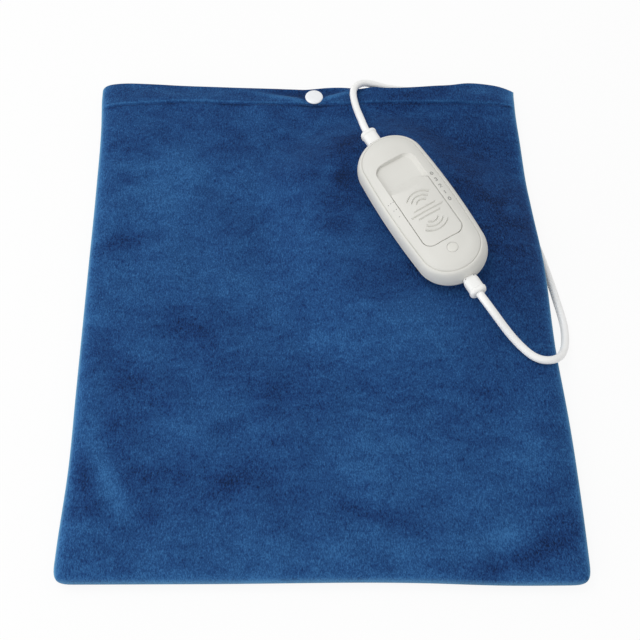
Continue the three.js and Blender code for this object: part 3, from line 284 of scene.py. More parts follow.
# Places where the pile lies another way, set against the photo, with painted shade in the darker ones beside
# and below the controller: middle, half sizes, turn, strength
NAP_AND_SHADE_PATCHES = (
    (108, 120, 48, 78, 20, -0.75),
    (128, 25, 40, 70, 15, -0.55),
    (22, 95, 34, 62, 10, -0.5),
    (30, 168, 40, 16, 0, -0.3),
    (70, 5, 46, 24, 20, -0.55),
    (45, -25, 52, 26, 10, 0.55),
    (-120, 60, 44, 90, -10, 0.35),
    (-70, 165, 60, 14, 6, -0.25),
    (-128, 132, 30, 16, 0, -0.35),
    (-60, 135, 26, 12, 0, -0.3),
    (-122, -62, 24, 44, 14, -0.55),
    (-133, -130, 38, 6, -63, 1.4),
    (-148, -130, 28, 7, -70, -0.7),
    (-119, -124, 28, 8, -63, -0.45),
    (-104, -158, 10, 6, 30, -0.8),
    (-48, -130, 16, 7, 15, -0.7),
    (-62, -141, 14, 6, 30, -0.6),
    (-86, -132, 6, 8, 0, -0.6),
    (-137, 49, 14, 12, 0, -0.7),
    (-136, 103, 10, 5, -8, -0.8),
    (-92, -19, 12, 8, -30, -0.6),
    (-74, -31, 9, 22, 30, -0.5),
    (-113, 88, 30, 22, 0, 0.6),
    (-119, -44, 20, 12, -30, 0.6),
    (30, -118, 24, 12, 0, 0.5),
    (132, -118, 14, 20, 0, 0.5),
    (108, -172, 14, 8, 10, 0.5),
    (20, 92, 8, 14, 0, -0.7),
    (14, 48, 14, 8, -20, -0.7),
    (28, 125, 16, 14, 0, -0.6),
    (11, 99, 6, 14, -15, 0.6),
    (-96, -98, 30, 26, 20, 0.5),
    (-100, -128, 18, 10, 25, -0.5),
    (-20, -75, 50, 22, 5, -0.3),
    (-18, -140, 20, 12, 20, -0.4),
    (38, -158, 34, 7, -14, -0.8),
    (60, -132, 90, 30, 8, 0.35),
    (20, -182, 120, 18, 2, 0.55),
    (110, -80, 44, 30, 0, -0.2),
    (124, -184, 40, 7, 24, -1.0),
    (148, -168, 14, 20, -20, -0.5),
    (-30, 15, 60, 40, 20, 0.2),
    (153, 186, 7, 12, 0, 1.0),
    (128, 190, 8, 6, 0, 0.5),
    (-118, 118, 34, 12, 4, 0.5),
)

# Extra rise of the front under the leaning controller, by place across it
NEST = (
    (-92, 0), (-80, 0.15), (-66, 1.0), (-52, 2.7), (-38, 4.8), (-27, 6.0), (-18.5, 6.3), (-12, 5.2),
    (-6, 4.0), (0, 2.8), (6, 1.6), (11, 0.6), (15, 0.05), (18, 0), (30, 0),
)

# Height of the controller's crown, by distance in from its outline
CROWN = ((4.8, 20.35), (7.95, 21.6), (14.6, 22.57), (21.2, 23.2), (26.5, 23.2))

# Rows and columns of the cloth: shares of the edge's rounding, rows on the body, places below
# the stitches, and shares of the hem
EDGE_STEPS = (0, 0.02, 0.07, 0.15, 0.26, 0.4, 0.56, 0.74)
BODY_ROWS = 150
STITCH_STEPS = (-6, -4.4, -3, -2, -1.3, -0.8, -0.4, 0)
HEM_SHARES = (
    0.03, 0.06, 0.1, 0.15, 0.2, 0.27, 0.34, 0.41, 0.48, 0.55, 0.62, 0.69, 0.76, 0.82,
    0.865, 0.9, 0.93, 0.955, 0.975, 0.99, 1.0,
)

# Strokes of the scale's figures on a cell one wide and 1.5 high, from its middle
FIGURES = {
    "0": [[(0.42 * math.sin(math.pi * k / 10), 0.68 * math.cos(math.pi * k / 10)) for k in range(21)]],
    "1": [[(-0.26, 0.44), (0.06, 0.7), (0.06, -0.7)]],
    "2": [[
        (-0.4, 0.38), (-0.3, 0.6), (0, 0.7), (0.3, 0.6), (0.4, 0.34), (0.28, 0.06),
        (-0.42, -0.68), (0.44, -0.68),
    ]],
    "3": [[
        (-0.38, 0.5), (-0.14, 0.68), (0.2, 0.64), (0.36, 0.38), (0.22, 0.1), (-0.06, 0.02), (0.24, -0.06),
        (0.4, -0.36), (0.22, -0.62), (-0.12, -0.7), (-0.4, -0.5),
    ]],
}

# Plush, from its darkest to its palest pile, and the painted highlight at its edge
PLUSH_STOPS = ((0.00, "#0b1e3e"), (0.28, "#153568"), (0.62, "#245084"), (1.00, "#386da3"))
PLUSH_RIM_HIGHLIGHT = "#86bfda"
PALE_SHARE = 0.7


def linear(code):
    """An sRGB hex value as the linear colour that shaders use."""
    shares = [int(code[k : k + 2], 16) / 255 for k in (1, 3, 5)]
    return tuple(s / 12.92 if s <= 0.04045 else ((s + 0.055) / 1.055) ** 2.4 for s in shares)


# Small sums


def smooth(value, low, high):
    """A share that eases from 0 at the low value to 1 at the high one."""
    share = np.clip((np.asarray(value, float) - low) / (high - low), 0.0, 1.0)
    return share * share * (3.0 - 2.0 * share)


def mix(a, b, share):
    """A value between a and b."""
    return a + (b - a) * share


def ridge(value, middle, reach):
    """1 where a value is in the middle, falling off to each side over a reach."""
    return np.exp(-(((value - middle) / reach) ** 2))


def through(knots, at):
    """A smooth curve through (place, value) knots, read at each place."""
    places = np.array([k[0] for k in knots], float)
    values = np.array([k[1] for k in knots], float)
    slopes = np.gradient(values, places)
    at = np.clip(np.asarray(at, float), places[0], places[-1])
    cell = np.clip(np.searchsorted(places, at) - 1, 0, len(places) - 2)
    width = places[cell + 1] - places[cell]
    t = (at - places[cell]) / width
    before = (1 + 2 * t) * (1 - t) ** 2 * values[cell] + t * (1 - t) ** 2 * width * slopes[cell]
    after = t * t * (3 - 2 * t) * values[cell + 1] - t * t * (1 - t) * width * slopes[cell + 1]
    return before + after


def waves(x, y, seed, cell):
    """Even, smooth noise from -1 to 1 over the plan, with lumps about one cell across."""
    source = np.random.default_rng(seed)
    total = np.zeros(np.shape(x))
    for _ in range(14):
        turn = source.uniform(0, 2 * math.pi)
        reach = 2 * math.pi / (cell * source.uniform(1.4, 3.2))
        phase = source.uniform(0, 2 * math.pi)
        total = total + np.sin(reach * (x * math.cos(turn) + y * math.sin(turn)) + phase)
    return total / math.sqrt(14 / 2) / 1.6


def in_controller(x, y):
    """Places along and across the controller."""
    dx = x - CONTROLLER_X
    dy = y - CONTROLLER_Y
    cosine = math.cos(CONTROLLER_TURN)
    sine = math.sin(CONTROLLER_TURN)
    return dx * cosine + dy * sine, dy * cosine - dx * sine


def lift(x, y):
    """How far the cloth's underside is over the floor, where it lies on the coil and the plug."""
    along, across = in_controller(x, y)
    coil_outer = COIL_INNER + COIL_TURNS / 2 * COIL_PITCH
    from_middle = np.hypot(along - COIL_ALONG, across - COIL_ACROSS)
    from_coil = from_middle - coil_outer - CORD_RADIUS - CLOTH_ROOM
    beside_length = np.maximum(np.abs(along - PLUG_ALONG) - PLUG_HALF_LENGTH, 0)
    beside_width = np.maximum(np.abs(across - PLUG_MIDDLE) - PLUG_HALF_WIDTH, 0)
    from_plug = np.hypot(beside_length, beside_width) - CLOTH_ROOM
    over_coil = smooth(from_coil, 0, COIL_SLOPE)
    over_plug = smooth(from_plug, 0, PLUG_SLOPE)
    return LIFT_HEIGHT * (1 - over_coil * over_plug)


def nest(x, y):
    """How much further the front rises to the controller, which leans on it with its left side low."""
    along, across = in_controller(x, y)
    return np.maximum(through(NEST, across), 0) * (1 - smooth(np.abs(along), 44, 104))


def curve_points(places, spacing):
    """Points about a spacing apart on the centripetal curve through the places."""
    places = [Vector(p) for p in places]
    padded = [2 * places[0] - places[1], *places, 2 * places[-1] - places[-2]]
    points = [places[0]]
    for a, b, c, d in zip(padded, padded[1:], padded[2:], padded[3:]):
        ab, bc, cd = (max((q - p).length, 1e-6) ** 0.5 for p, q in ((a, b), (b, c), (c, d)))
        into = ((b - a) / ab - (c - a) / (ab + bc) + (c - b) / bc) * bc
        out = ((c - b) / bc - (d - b) / (bc + cd) + (d - c) / cd) * bc
        steps = max(int((c - b).length / spacing), 2)
        for k in range(1, steps + 1):
            t = k / steps
            points.append(
                b * (2 * t**3 - 3 * t**2 + 1)
                + into * (t**3 - 2 * t**2 + t)
                + c * (3 * t**2 - 2 * t**3)
                + out * (t**3 - t**2)
            )
    return points


# Meshes and pieces


def point_places(piece):
    """Where a mesh's points are, in millimetres."""
    places = np.empty(len(piece.data.vertices) * 3)
    piece.data.vertices.foreach_get("co", places)
    return places.reshape(-1, 3) / MM


def write_values(piece, name, values):
    """Gives each point of a mesh a value that its material can read."""
    attribute = piece.data.attributes.new(name, "FLOAT", "POINT")
    attribute.data.foreach_set("value", values.astype(np.float32))


def mesh_piece(name, points, faces, material, sharp=None):
    """A smooth-shaded mesh from points in millimetres."""
    mesh = bpy.data.meshes.new(name)
    mesh.from_pydata([tuple(float(c) * MM for c in p) for p in points], [], faces)
    mesh.validate()
    mesh.shade_smooth()
    if sharp is not None:
        mesh.set_sharp_from_angle(angle=math.radians(sharp))
    mesh.materials.append(material)
    piece = bpy.data.objects.new(name, mesh)
    bpy.context.scene.collection.objects.link(piece)
    return piece


def joined(parts):
    """Several (points, faces) lists as one."""
    points = []
    faces = []
    for more, quads in parts:
        start = len(points)
        points.extend(more)
        faces.extend([tuple(k + start for k in quad) for quad in quads])
    return points, faces


def lofted(rings, closed_start=True, closed_end=True):
    """Faces through rings of equal counts, with each end closed by a fan if asked."""
    count = len(rings[0])
    points = [tuple(p) for ring in rings for p in ring]
    faces = []
    for k in range(len(rings) - 1):
        for s in range(count):
            n = (s + 1) % count
            faces.append((k * count + s, k * count + n, (k + 1) * count + n, (k + 1) * count + s))
    for ring, wanted, flip in ((rings[0], closed_start, True), (rings[-1], closed_end, False)):
        if not wanted:
            continue
        middle = tuple(np.mean(np.array(ring, float), axis=0))
        hub = len(points)
        points.append(middle)
        base = 0 if flip else (len(rings) - 1) * count
        for s in range(count):
            n = (s + 1) % count
            faces.append((base + n, base + s, hub) if flip else (base + s, base + n, hub))
    return points, faces


def turned(profile, sides, centre=(0, 0)):
    """A body turned on an upright axis, from (radius, height) pairs that start and end on it."""
    rings = []
    for radius, height in profile[1:-1]:
        ring = []
        for s in range(sides):
            angle = 2 * math.pi * s / sides
            x = centre[0] + radius * math.cos(angle)
            ring.append((x, centre[1] + radius * math.sin(angle), height))
        rings.append(ring)
    points, faces = lofted(rings)
    count = len(rings) * sides
    points[count] = (centre[0], centre[1], profile[0][1])
    points[count + 1] = (centre[0], centre[1], profile[-1][1])
    return points, faces


def tube(path, radius, sides=8):
    """A round tube along a path, closed at both ends."""
    rings = []
    up = Vector((0, 0, 1))
    for k, point in enumerate(path):
        ahead = (path[min(k + 1, len(path) - 1)] - path[max(k - 1, 0)]).normalized()
        side = ahead.cross(up).normalized()
        rise = side.cross(ahead)
        ring = []
        for s in range(sides):
            angle = 2 * math.pi * s / sides
            aside = side * radius * math.cos(angle)
            ring.append(tuple(point + aside + rise * radius * math.sin(angle)))
        rings.append(ring)
    return lofted(rings)


def sheet_faces(nx, ny):
    """Faces of a closed sheet whose upper grid comes before its lower one."""
    count = nx * ny
    quads = []
    for j in range(ny - 1):
        for i in range(nx - 1):
            a = j * nx + i
            quads.append((a, a + 1, a + 1 + nx, a + nx))
            quads.append((a + count, a + nx + count, a + 1 + nx + count, a + 1 + count))
    for i in range(nx - 1):
        a = (ny - 1) * nx + i
        quads.append((i, i + count, i + 1 + count, i + 1))
        quads.append((a + 1, a + 1 + count, a + count, a))
    for j in range(ny - 1):
        a = j * nx
        b = a + nx - 1
        quads.append((a + nx, a + nx + count, a + count, a))
        quads.append((b, b + count, b + nx + count, b + nx))
    return quads


def rounded_rectangle(length, width, radius, steps=10, middle=(0, 0)):
    """Points round a rectangle with round corners, anticlockwise."""
    points = []
    corners = ((1, 1, 0), (-1, 1, 90), (-1, -1, 180), (1, -1, 270))
    for sx, sy, start in corners:
        cx = middle[0] + sx * (length / 2 - radius)
        cy = middle[1] + sy * (width / 2 - radius)
        for k in range(steps + 1):
            angle = math.radians(start + 90 * k / steps)
            points.append((cx + radius * math.cos(angle), cy + radius * math.sin(angle)))
    return points


def even_ring(points, spacing):
    """The same ring with more points on its long straight runs."""
    ring = []
    for a, b in zip(points, points[1:] + points[:1]):
        steps = max(int(math.dist(a, b) / spacing), 1)
        ring.extend((mix(a[0], b[0], k / steps), mix(a[1], b[1], k / steps)) for k in range(steps))
    return ring


def inside(ring, x, y):
    """Which places lie inside a ring."""
    ring = np.array(ring, float)
    hits = np.zeros(np.shape(x), bool)
    for (x0, y0), (x1, y1) in zip(ring, np.roll(ring, -1, axis=0)):
        if y0 == y1:
            continue
        crosses = (y0 > y) != (y1 > y)
        hits ^= crosses & (x < (x1 - x0) * (y - y0) / (y1 - y0) + x0)
    return hits


def filled(outer, holes, spacing):
    """Even triangles inside a ring and outside its holes: points, faces, and each ring's points."""
    rings = [outer, *holes]
    edge = np.array([p for ring in rings for p in ring], float)
    low = edge.min(axis=0)
    high = edge.max(axis=0)
    xs = np.arange(low[0], high[0], spacing)
    ys = np.arange(low[1], high[1], spacing)
    x, y = (g.ravel() for g in np.meshgrid(xs, ys))
    keep = inside(outer, x, y)
    for hole in holes:
        keep &= ~inside(hole, x, y)
    x, y = x[keep], y[keep]
    nearest = np.full(len(x), 1e9)
    for px, py in edge:
        nearest = np.minimum(nearest, np.hypot(x - px, y - py))
    keep = nearest > spacing * 0.6
    places = [tuple(p) for p in edge] + list(zip(x[keep], y[keep]))
    edges = []
    start = 0
    for ring in rings:
        count = len(ring)
        edges.extend((start + k, start + (k + 1) % count) for k in range(count))
        start += count
    cdt = geometry.delaunay_2d_cdt
    found = cdt([Vector(p) for p in places], edges, [list(range(len(outer)))], 1, 1e-6)
    made, made_faces, sources = found[0], found[2], found[3]
    whereabouts = {}
    for k, source in enumerate(sources):
        for s in source:
            whereabouts[s] = k
    points = np.array([tuple(p) for p in made], float)
    middles = points[np.array(made_faces)].mean(axis=1)
    drop = np.zeros(len(middles), bool)
    for hole in holes:
        drop |= inside(hole, middles[:, 0], middles[:, 1])
    faces = [tuple(f) for f, gone in zip(made_faces, drop) if not gone]
    places = []
    start = 0
    for ring in rings:
        places.append([whereabouts[start + k] for k in range(len(ring))])
        start += len(ring)
    return points, faces, places


class Skin:
    """A body built from plates and the walls between their rings."""

    def __init__(self):
        self.points = []
        self.faces = []

    def add_ring(self, ring):
        """Adds a ring's points, and gives their numbers."""
        start = len(self.points)
        self.points.extend(tuple(p) for p in ring)
        return list(range(start, len(self.points)))

    def add_plate(self, outer, holes, height, spacing, up=True):
        """Fills a ring, less its holes, at a height, and gives each ring's numbers."""
        flat, faces, rings = filled(outer, holes, spacing)
        start = len(self.points)
        levels = height(flat[:, 0], flat[:, 1])
        self.points.extend((x, y, z) for (x, y), z in zip(flat, levels))
        for face in faces:
            face = tuple(k + start for k in face)
            self.faces.append(face if up else face[::-1])
        return [[k + start for k in ring] for ring in rings]

    def add_wall(self, low, high):
        """Joins two rings of equal counts."""
        count = len(low)
        for s in range(count):
            n = (s + 1) % count
            self.faces.append((low[s], low[n], high[n], high[s]))

    def add_walls(self, *rings):
        """Joins each ring to the next."""
        for low, high in zip(rings, rings[1:]):
            self.add_wall(low, high)


def level(value):
    """A flat height, for a plate."""
    return lambda x, y: np.full(np.shape(x), float(value))


# Materials


def set_inputs(tree, node, **inputs):
    """Links or sets each named input of a node. The name in2 means the input with the number 2."""
    for name, value in inputs.items():
        key = name.replace("_", " ") if name.replace("_", " ") in node.inputs else name
        if key.startswith("in") and key[2:].isdigit():
            key = int(key[2:])
        if isinstance(value, bpy.types.NodeSocket):
            tree.links.new(value, node.inputs[key])
        else:
            node.inputs[key].default_value = value


def add_node(tree, kind, settings=None, **inputs):
    """A node with its settings, and with each named input either linked or set."""
    node = tree.nodes.new(kind)
    for name, value in (settings or {}).items():
        setattr(node, name, value)
    set_inputs(tree, node, **inputs)
    return node


def new_material(name):
    """A material with its tree, its shader and the object's own places."""
    material = bpy.data.materials.new(name)
    material.use_nodes = True
    tree = material.node_tree
    shader = tree.nodes["Principled BSDF"]
    place = add_node(tree, "ShaderNodeTexCoord").outputs["Object"]
    return material, tree, shader, place


def colour_through(node, stops):
    """Runs a colour ramp through stops of (place, hex value), and gives its colour."""
    ramp = node.color_ramp
    while len(ramp.elements) < len(stops):
        ramp.elements.new(0.5)
    for element, (place, code) in zip(ramp.elements, stops):
        element.position = place
        element.color = (*linear(code), 1)
    return node.outputs["Color"]


def make_plush(name, stops):
    """Polyester fleece velour, brushed and sheared: the pile throws light sideways, so the cloth
    is soft and mottled where the pile lies another way, with painted shade and painted highlights on top,
    and its rounded edges are painted pale as a highlight."""
    material, tree, shader, place = new_material(name)
    # Mottling of about 40 mm and 12 mm, and the pile's own strands, which lie along the cloth
    strands = add_node(tree, "ShaderNodeMapping", Vector=place, Scale=(1, 0.42, 1)).outputs["Vector"]
    brushed = add_node(tree, "ShaderNodeMapping", Vector=place, Scale=(0.7, 1.25, 1)).outputs["Vector"]
    noises = []
    for size, weight, inputs in (
        (0.040, 0.48, {"Vector": brushed, "Detail": 4.0, "Distortion": 1.2}),
        (0.012, 0.48, {"Vector": brushed, "Detail": 4.0, "Distortion": 0.9}),
        (0.0012, 0.75, {"Vector": strands, "Detail": 2.0, "Roughness": 0.65}),
        (0.0006, 1.15, {"Vector": strands, "Detail": 2.0, "Roughness": 0.7}),
    ):
        noise = add_node(tree, "ShaderNodeTexNoise", Scale=1 / size, **inputs)
        noises.append((noise.outputs["Fac"], weight))
    # Each noise swings about its middle, and the way that the pile lies, with painted shade and painted
    # highlights, comes on top
    share = 0.5 - sum(weight for _, weight in noises) / 2
    scaled = {"operation": "MULTIPLY_ADD"}
    for source, weight in noises:
        share = add_node(tree, "ShaderNodeMath", scaled, in0=source, in1=weight, in2=share).outputs["Value"]
    carried = {"attribute_name": "nap", "attribute_type": "GEOMETRY"}
    nap = add_node(tree, "ShaderNodeAttribute", carried).outputs["Fac"]
    scaled = {"operation": "MULTIPLY_ADD", "use_clamp": True}
    share = add_node(tree, "ShaderNodeMath", scaled, in0=nap, in1=0.29, in2=share).outputs["Value"]
    # Painted highlight: the colour turns pale at the cloth's edge, for the light that passes through the
    # pile standing out past it
    carried = {"attribute_name": "rim", "attribute_type": "GEOMETRY"}
    rim = add_node(tree, "ShaderNodeAttribute", carried).outputs["Fac"]
    body = colour_through(add_node(tree, "ShaderNodeValToRGB", Fac=share), stops)
    edge = (*linear(PLUSH_RIM_HIGHLIGHT), 1)
    shade = add_node(tree, "ShaderNodeMix", {"data_type": "RGBA"}, Factor=rim, in6=body, in7=edge)
    fine, finest = noises[2][0], noises[3][0]
    relief = add_node(tree, "ShaderNodeMath", {"operation": "ADD"}, in0=fine, in1=finest).outputs["Value"]
    bump = add_node(tree, "ShaderNodeBump", Height=relief, Strength=0.6, Distance=0.0009)
    # The pile stands out at the cloth's rounded edges, where light passes through its tips
    facing = add_node(tree, "ShaderNodeLayerWeight", Blend=0.5).outputs["Facing"]
    eased_in = {"interpolation_type": "SMOOTHSTEP"}
    limits = {"From_Min": 0.7, "From_Max": 1.0, "To_Min": 0.03, "To_Max": 0.7}
    tips = add_node(tree, "ShaderNodeMapRange", eased_in, Value=facing, **limits)
    set_inputs(
        tree, shader, Base_Color=shade.outputs[2], Normal=bump.outputs["Normal"],
        Roughness=0.92, IOR=1.5, Specular_IOR_Level=0.15,
        Sheen_Weight=tips.outputs["Result"], Sheen_Roughness=0.30, Sheen_Tint=(*linear("#8cc8f0"), 1),
    )
    return material


def make_moulded(name, code, low_code, roughness, grain=0.0007, depth=0.00002, coat=0.0, ior=1.5):
    """Injection-moulded plastic: an even colour with the faint grain of a spark-eroded mould."""
    material, tree, shader, place = new_material(name)
    cloud = add_node(tree, "ShaderNodeTexNoise", Vector=place, Scale=1 / 0.03, Detail=2.0)
    ramp = add_node(tree, "ShaderNodeValToRGB", Fac=cloud.outputs["Fac"])
    fine = add_node(tree, "ShaderNodeTexNoise", Vector=place, Scale=1 / grain, Detail=2.0).outputs["Fac"]
    limits = {"To_Min": roughness - 0.05, "To_Max": roughness + 0.07}
    gloss = add_node(tree, "ShaderNodeMapRange", Value=fine, **limits)
    bump = add_node(tree, "ShaderNodeBump", Height=fine, Strength=0.4, Distance=depth)
    set_inputs(
        tree, shader, Base_Color=colour_through(ramp, [(0.3, low_code), (0.7, code)]),
        Roughness=gloss.outputs["Result"], Normal=bump.outputs["Normal"],
        IOR=ior, Coat_Weight=coat, Coat_Roughness=0.25,
    )
    return material


def make_metal(name, code, low_code, roughness, direction=(1, 1, 1)):
    """Metal with fine marks from stamping or turning, a little darker where it is dull."""
    material, tree, shader, place = new_material(name)
    along = add_node(tree, "ShaderNodeMapping", Vector=place, Scale=direction).outputs["Vector"]
    marks = add_node(tree, "ShaderNodeTexNoise", Vector=along, Scale=1 / 0.0012, Detail=3.0).outputs["Fac"]
    ramp = add_node(tree, "ShaderNodeValToRGB", Fac=marks)
    limits = {"To_Min": roughness - 0.08, "To_Max": roughness + 0.12}
    gloss = add_node(tree, "ShaderNodeMapRange", Value=marks, **limits)
    set_inputs(
        tree, shader, Base_Color=colour_through(ramp, [(0.3, low_code), (0.7, code)]),
        Roughness=gloss.outputs["Result"], Metallic=1.0,
    )
    return material


def make_woven(name, code, low_code, thread):
    """Plain-woven or spunbonded lining: a fine grid of threads that a raking light picks out."""
    material, tree, shader, place = new_material(name)
    threads = []
    for direction in ("X", "Y"):
        settings = {"bands_direction": direction}
        pitch = 0.314 / thread
        wave = add_node(tree, "ShaderNodeTexWave", settings, Vector=place, Scale=pitch, Distortion=0.6)
        threads.append(wave.outputs["Fac"])
    crossed = {"operation": "MULTIPLY"}
    grid = add_node(tree, "ShaderNodeMath", crossed, in0=threads[0], in1=threads[1]).outputs["Value"]
    ramp = add_node(tree, "ShaderNodeValToRGB", Fac=grid)
    bump = add_node(tree, "ShaderNodeBump", Height=grid, Strength=0.5, Distance=0.0002)
    set_inputs(
        tree, shader, Base_Color=colour_through(ramp, [(0.0, low_code), (0.8, code)]),
        Normal=bump.outputs["Normal"], Roughness=0.85, Specular_IOR_Level=0.2,
        Sheen_Weight=0.15, Sheen_Roughness=0.5,
    )
    return material


def make_board(name):
    """Glass-epoxy laminate under green solder mask, with paler copper tracks below it."""
    material, tree, shader, place = new_material(name)
    mortar = {"Mortar_Size": 0.06, "Mortar_Smooth": 0.2}
    tracks = add_node(tree, "ShaderNodeTexBrick", Vector=place, Scale=1 / 0.006, **mortar)
    ramp = add_node(tree, "ShaderNodeValToRGB", Fac=tracks.outputs["Fac"])
    set_inputs(
        tree, shader, Base_Color=colour_through(ramp, [(0.1, "#23583a"), (0.9, "#3c8055")]),
        Roughness=0.35, Coat_Weight=0.4, Coat_Roughness=0.15,
    )
    return material


def make_glass(name, code, roughness):
    """Clear moulded glass or epoxy, tinted a little by what is sealed in it."""
    material, tree, shader, place = new_material(name)
    cloud = add_node(tree, "ShaderNodeTexNoise", Vector=place, Scale=1 / 0.004, Detail=1.0)
    ramp = add_node(tree, "ShaderNodeValToRGB", Fac=cloud.outputs["Fac"])
    set_inputs(
        tree, shader, Base_Color=colour_through(ramp, [(0.3, code), (0.7, "#f4f8f9")]),
        Roughness=roughness, Transmission_Weight=0.75, IOR=1.5,
    )
    return material


materials = {}


def build_materials():
    """Every material, with what the real part is made of."""
    materials["plush"] = make_plush("fleece_velour_sheared", PLUSH_STOPS)
    # Polyester sewing thread, dyed with the cover and a little glossier than its pile
    materials["thread"] = make_woven("polyester_thread_dyed", "#2a5793", "#173a6b", 0.0006)
    # Spunbonded polyester lining, pressed into a fine grid
    materials["lining"] = make_woven("spunbond_lining_pressed", "#e8e6e0", "#d5d2ca", 0.0009)
    # ABS with a satin mould grain, warm pale grey
    materials["housing"] = make_moulded("abs_satin_moulded", "#d8d7d1", "#d4d3cd", 0.46)
    # Polycarbonate lens, frosted on its underside, so it is a little whiter than the housing
    materials["lens"] = make_moulded("polycarbonate_frosted", "#d9d8d1", "#d5d4cd", 0.34, coat=0.2)
    # Soft PVC of the cord's jacket, extruded: smooth, bright and faintly glossy
    materials["cord"] = make_moulded("pvc_extruded_white", "#f9f9f8", "#f6f6f4", 0.36, 0.002, 0.00001, 0.15)
    # PVC moulded over the cord's ends: the same white, a little duller
    materials["overmould"] = make_moulded("pvc_overmoulded_white", "#f0f0ee", "#ebebe9", 0.44, 0.0009)
    # Acetal snap parts, moulded and tumbled: bright white with a soft gloss
    materials["snap"] = make_moulded("acetal_moulded_white", "#f1f3f6", "#ebedf1", 0.24, 0.002, 0.00001, 0.3)
    # Silicone insulation of the heating wire
    materials["wire"] = make_moulded("silicone_extruded_red", "#ad4c3c", "#9c3f31", 0.55)
    # Zinc-plated steel screws and the cut-out's can
    materials["steel"] = make_metal("steel_zinc_plated", "#c3c6c8", "#9da1a4", 0.30)
    # Brass pins and contacts, turned or stamped
    materials["brass"] = make_metal("brass_nickel_turned", "#d8cfae", "#b9ab7c", 0.26, (1, 1, 6))
    # Dark moulded nylon and phenolic inside the controller, and the coil's tie; the same dark paints the
    # shade inside the strain reliefs' slots
    materials["dark"] = make_moulded("nylon_moulded_dark", "#2b2d30", "#222427", 0.5)
    materials["board"] = make_board("epoxy_board_masked")
    materials["glass"] = make_glass("glass_clear", "#dde8ea", 0.08)
    # Pad-printed ink, matt and slightly worn to the housing's own grey; the raised dots take the same dark
    # grey
    materials["ink"] = make_moulded("ink_pad_printed", "#595a58", "#6b6c6a", 0.6, 0.0004)


def dress_nodes(material_name, nodes):
    """Gives CAD nodes that stay in view their material."""
    for name in nodes:
        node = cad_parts[name]
        node.data.materials.clear()
        node.data.materials.append(materials[material_name])


# Camera


def place_camera(sizes):
    """Stands the camera where the photo was taken from, as a fit of the cover's corners gave it."""
    yaw = sizes.yaw
    pitch = sizes.pitch
    back = Vector((math.sin(yaw) * math.cos(pitch), -math.cos(yaw) * math.cos(pitch), math.sin(pitch)))
    right = Vector((0, 0, 1)).cross(back).normalized()
    up = back.cross(right)
    roll = sizes.roll
    turned_right = right * math.cos(roll) + up * math.sin(roll)
    turned_up = up * math.cos(roll) - right * math.sin(roll)
    data = bpy.data.cameras.new("photo_camera")
    data.lens = 62.35
    data.sensor_width = 36.0
    data.clip_start = 0.01
    data.clip_end = 20.0
    camera = bpy.data.objects.new("photo_camera", data)
    bpy.context.scene.collection.objects.link(camera)
    turn = Matrix((turned_right, turned_up, back)).transposed().to_4x4()
    camera.matrix_world = Matrix.Translation(Vector(sizes.target) + back * sizes.distance) @ turn
    bpy.context.scene.camera = camera


# Cords


def cord_curve(name, points, radius, material):
    """A round cord along points in millimetres."""
    data = bpy.data.curves.new(name, "CURVE")
    data.dimensions = "3D"
    spline = data.splines.new("POLY")
    spline.points.add(len(points) - 1)
    for target, point in zip(spline.points, points):
        target.co = (*(c * MM for c in point), 1)
    data.bevel_depth = radius
    data.bevel_resolution = 5
    data.use_fill_caps = True
    data.materials.append(material)
    piece = bpy.data.objects.new(name, data)
    bpy.context.scene.collection.objects.link(piece)
    return piece


def coil_route():
    """The coil's turns: in on the lower layer, up over half a turn, and out on the upper one."""
    steps = round(COIL_TURNS * 48)
    start = math.pi / 2 - CONTROLLER_TURN
    places = []
    for k in range(steps + 1):
        turns = COIL_TURNS * k / steps
        from_middle = turns - COIL_TURNS / 2
        radius = COIL_INNER + COIL_PITCH * abs(from_middle)
        height = mix(COIL_LOW, COIL_HIGH, float(smooth(from_middle, -0.25, 0.25)))
        angle = start + 2 * math.pi * turns
        x = COIL_ALONG + radius * math.cos(angle)
        y = COIL_ACROSS + radius * math.sin(angle)
        places.append((x, y, height))
    return places


def to_world(place):
    """A place along and across the controller, as a place on the floor's axes."""
    cosine = math.cos(CONTROLLER_TURN)
    sine = math.sin(CONTROLLER_TURN)
    x = CONTROLLER_X + place[0] * cosine - place[1] * sine
    y = CONTROLLER_Y + place[0] * sine + place[1] * cosine
    return Vector((x, y, place[2]))


def eased(points, times):
    """The same path with its small wobbles smoothed out, and its ends kept."""
    for _ in range(times):
        middles = ((a + b * 2 + c) / 4 for a, b, c in zip(points, points[1:], points[2:]))
        points = [points[0], *middles, points[-1]]
    return points


def into_relief(route):
    """The end of the cord that its strain relief hides."""
    start = Vector(route[0])
    inward = Vector((CONTROLLER_X - start.x, CONTROLLER_Y - start.y, 0)).normalized()
    return [start + inward * 2.4, start + inward * 1.2]


def build_cords(sizes):
    """The lead into the cover, and the mains lead with its coil and the tail to its plug."""
    radius = sizes.diameter / 2
    lead = [*into_relief(PAD_LEAD), *eased(curve_points(PAD_LEAD, 1.6), 12)]
    pad_cord = cord_curve("pad_lead_cord", lead, radius, materials["cord"])
    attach(pad_cord, "root")
    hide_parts("pad_lead")

    first = [*into_relief(MAINS_LEAD), *eased(curve_points(MAINS_LEAD, 2.2), 8)]
    turns = [to_world(p) for p in coil_route()]
    tail = curve_points([to_world(p) for p in PLUG_TAIL], 2.2)
    route = [*first[:-1], *turns, *tail[1:]]
    mains = cord_curve("mains_cord", route, radius, materials["cord"])
    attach(mains, "root")
    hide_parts("mains_lead", "mains_coil", "plug_tail")
    dress_nodes("overmould", ("plug_body", "plug_boot"))
    dress_nodes("brass", ("plug_pin_left", "plug_pin_right"))
    dress_nodes("dark", ("coil_tie",))


# Cover


def bend(share):
    """How far a rounded corner reaches, by how near the place is to it."""
    return (1 - share**CORNER_POWER / 2) ** (1 / CORNER_POWER)


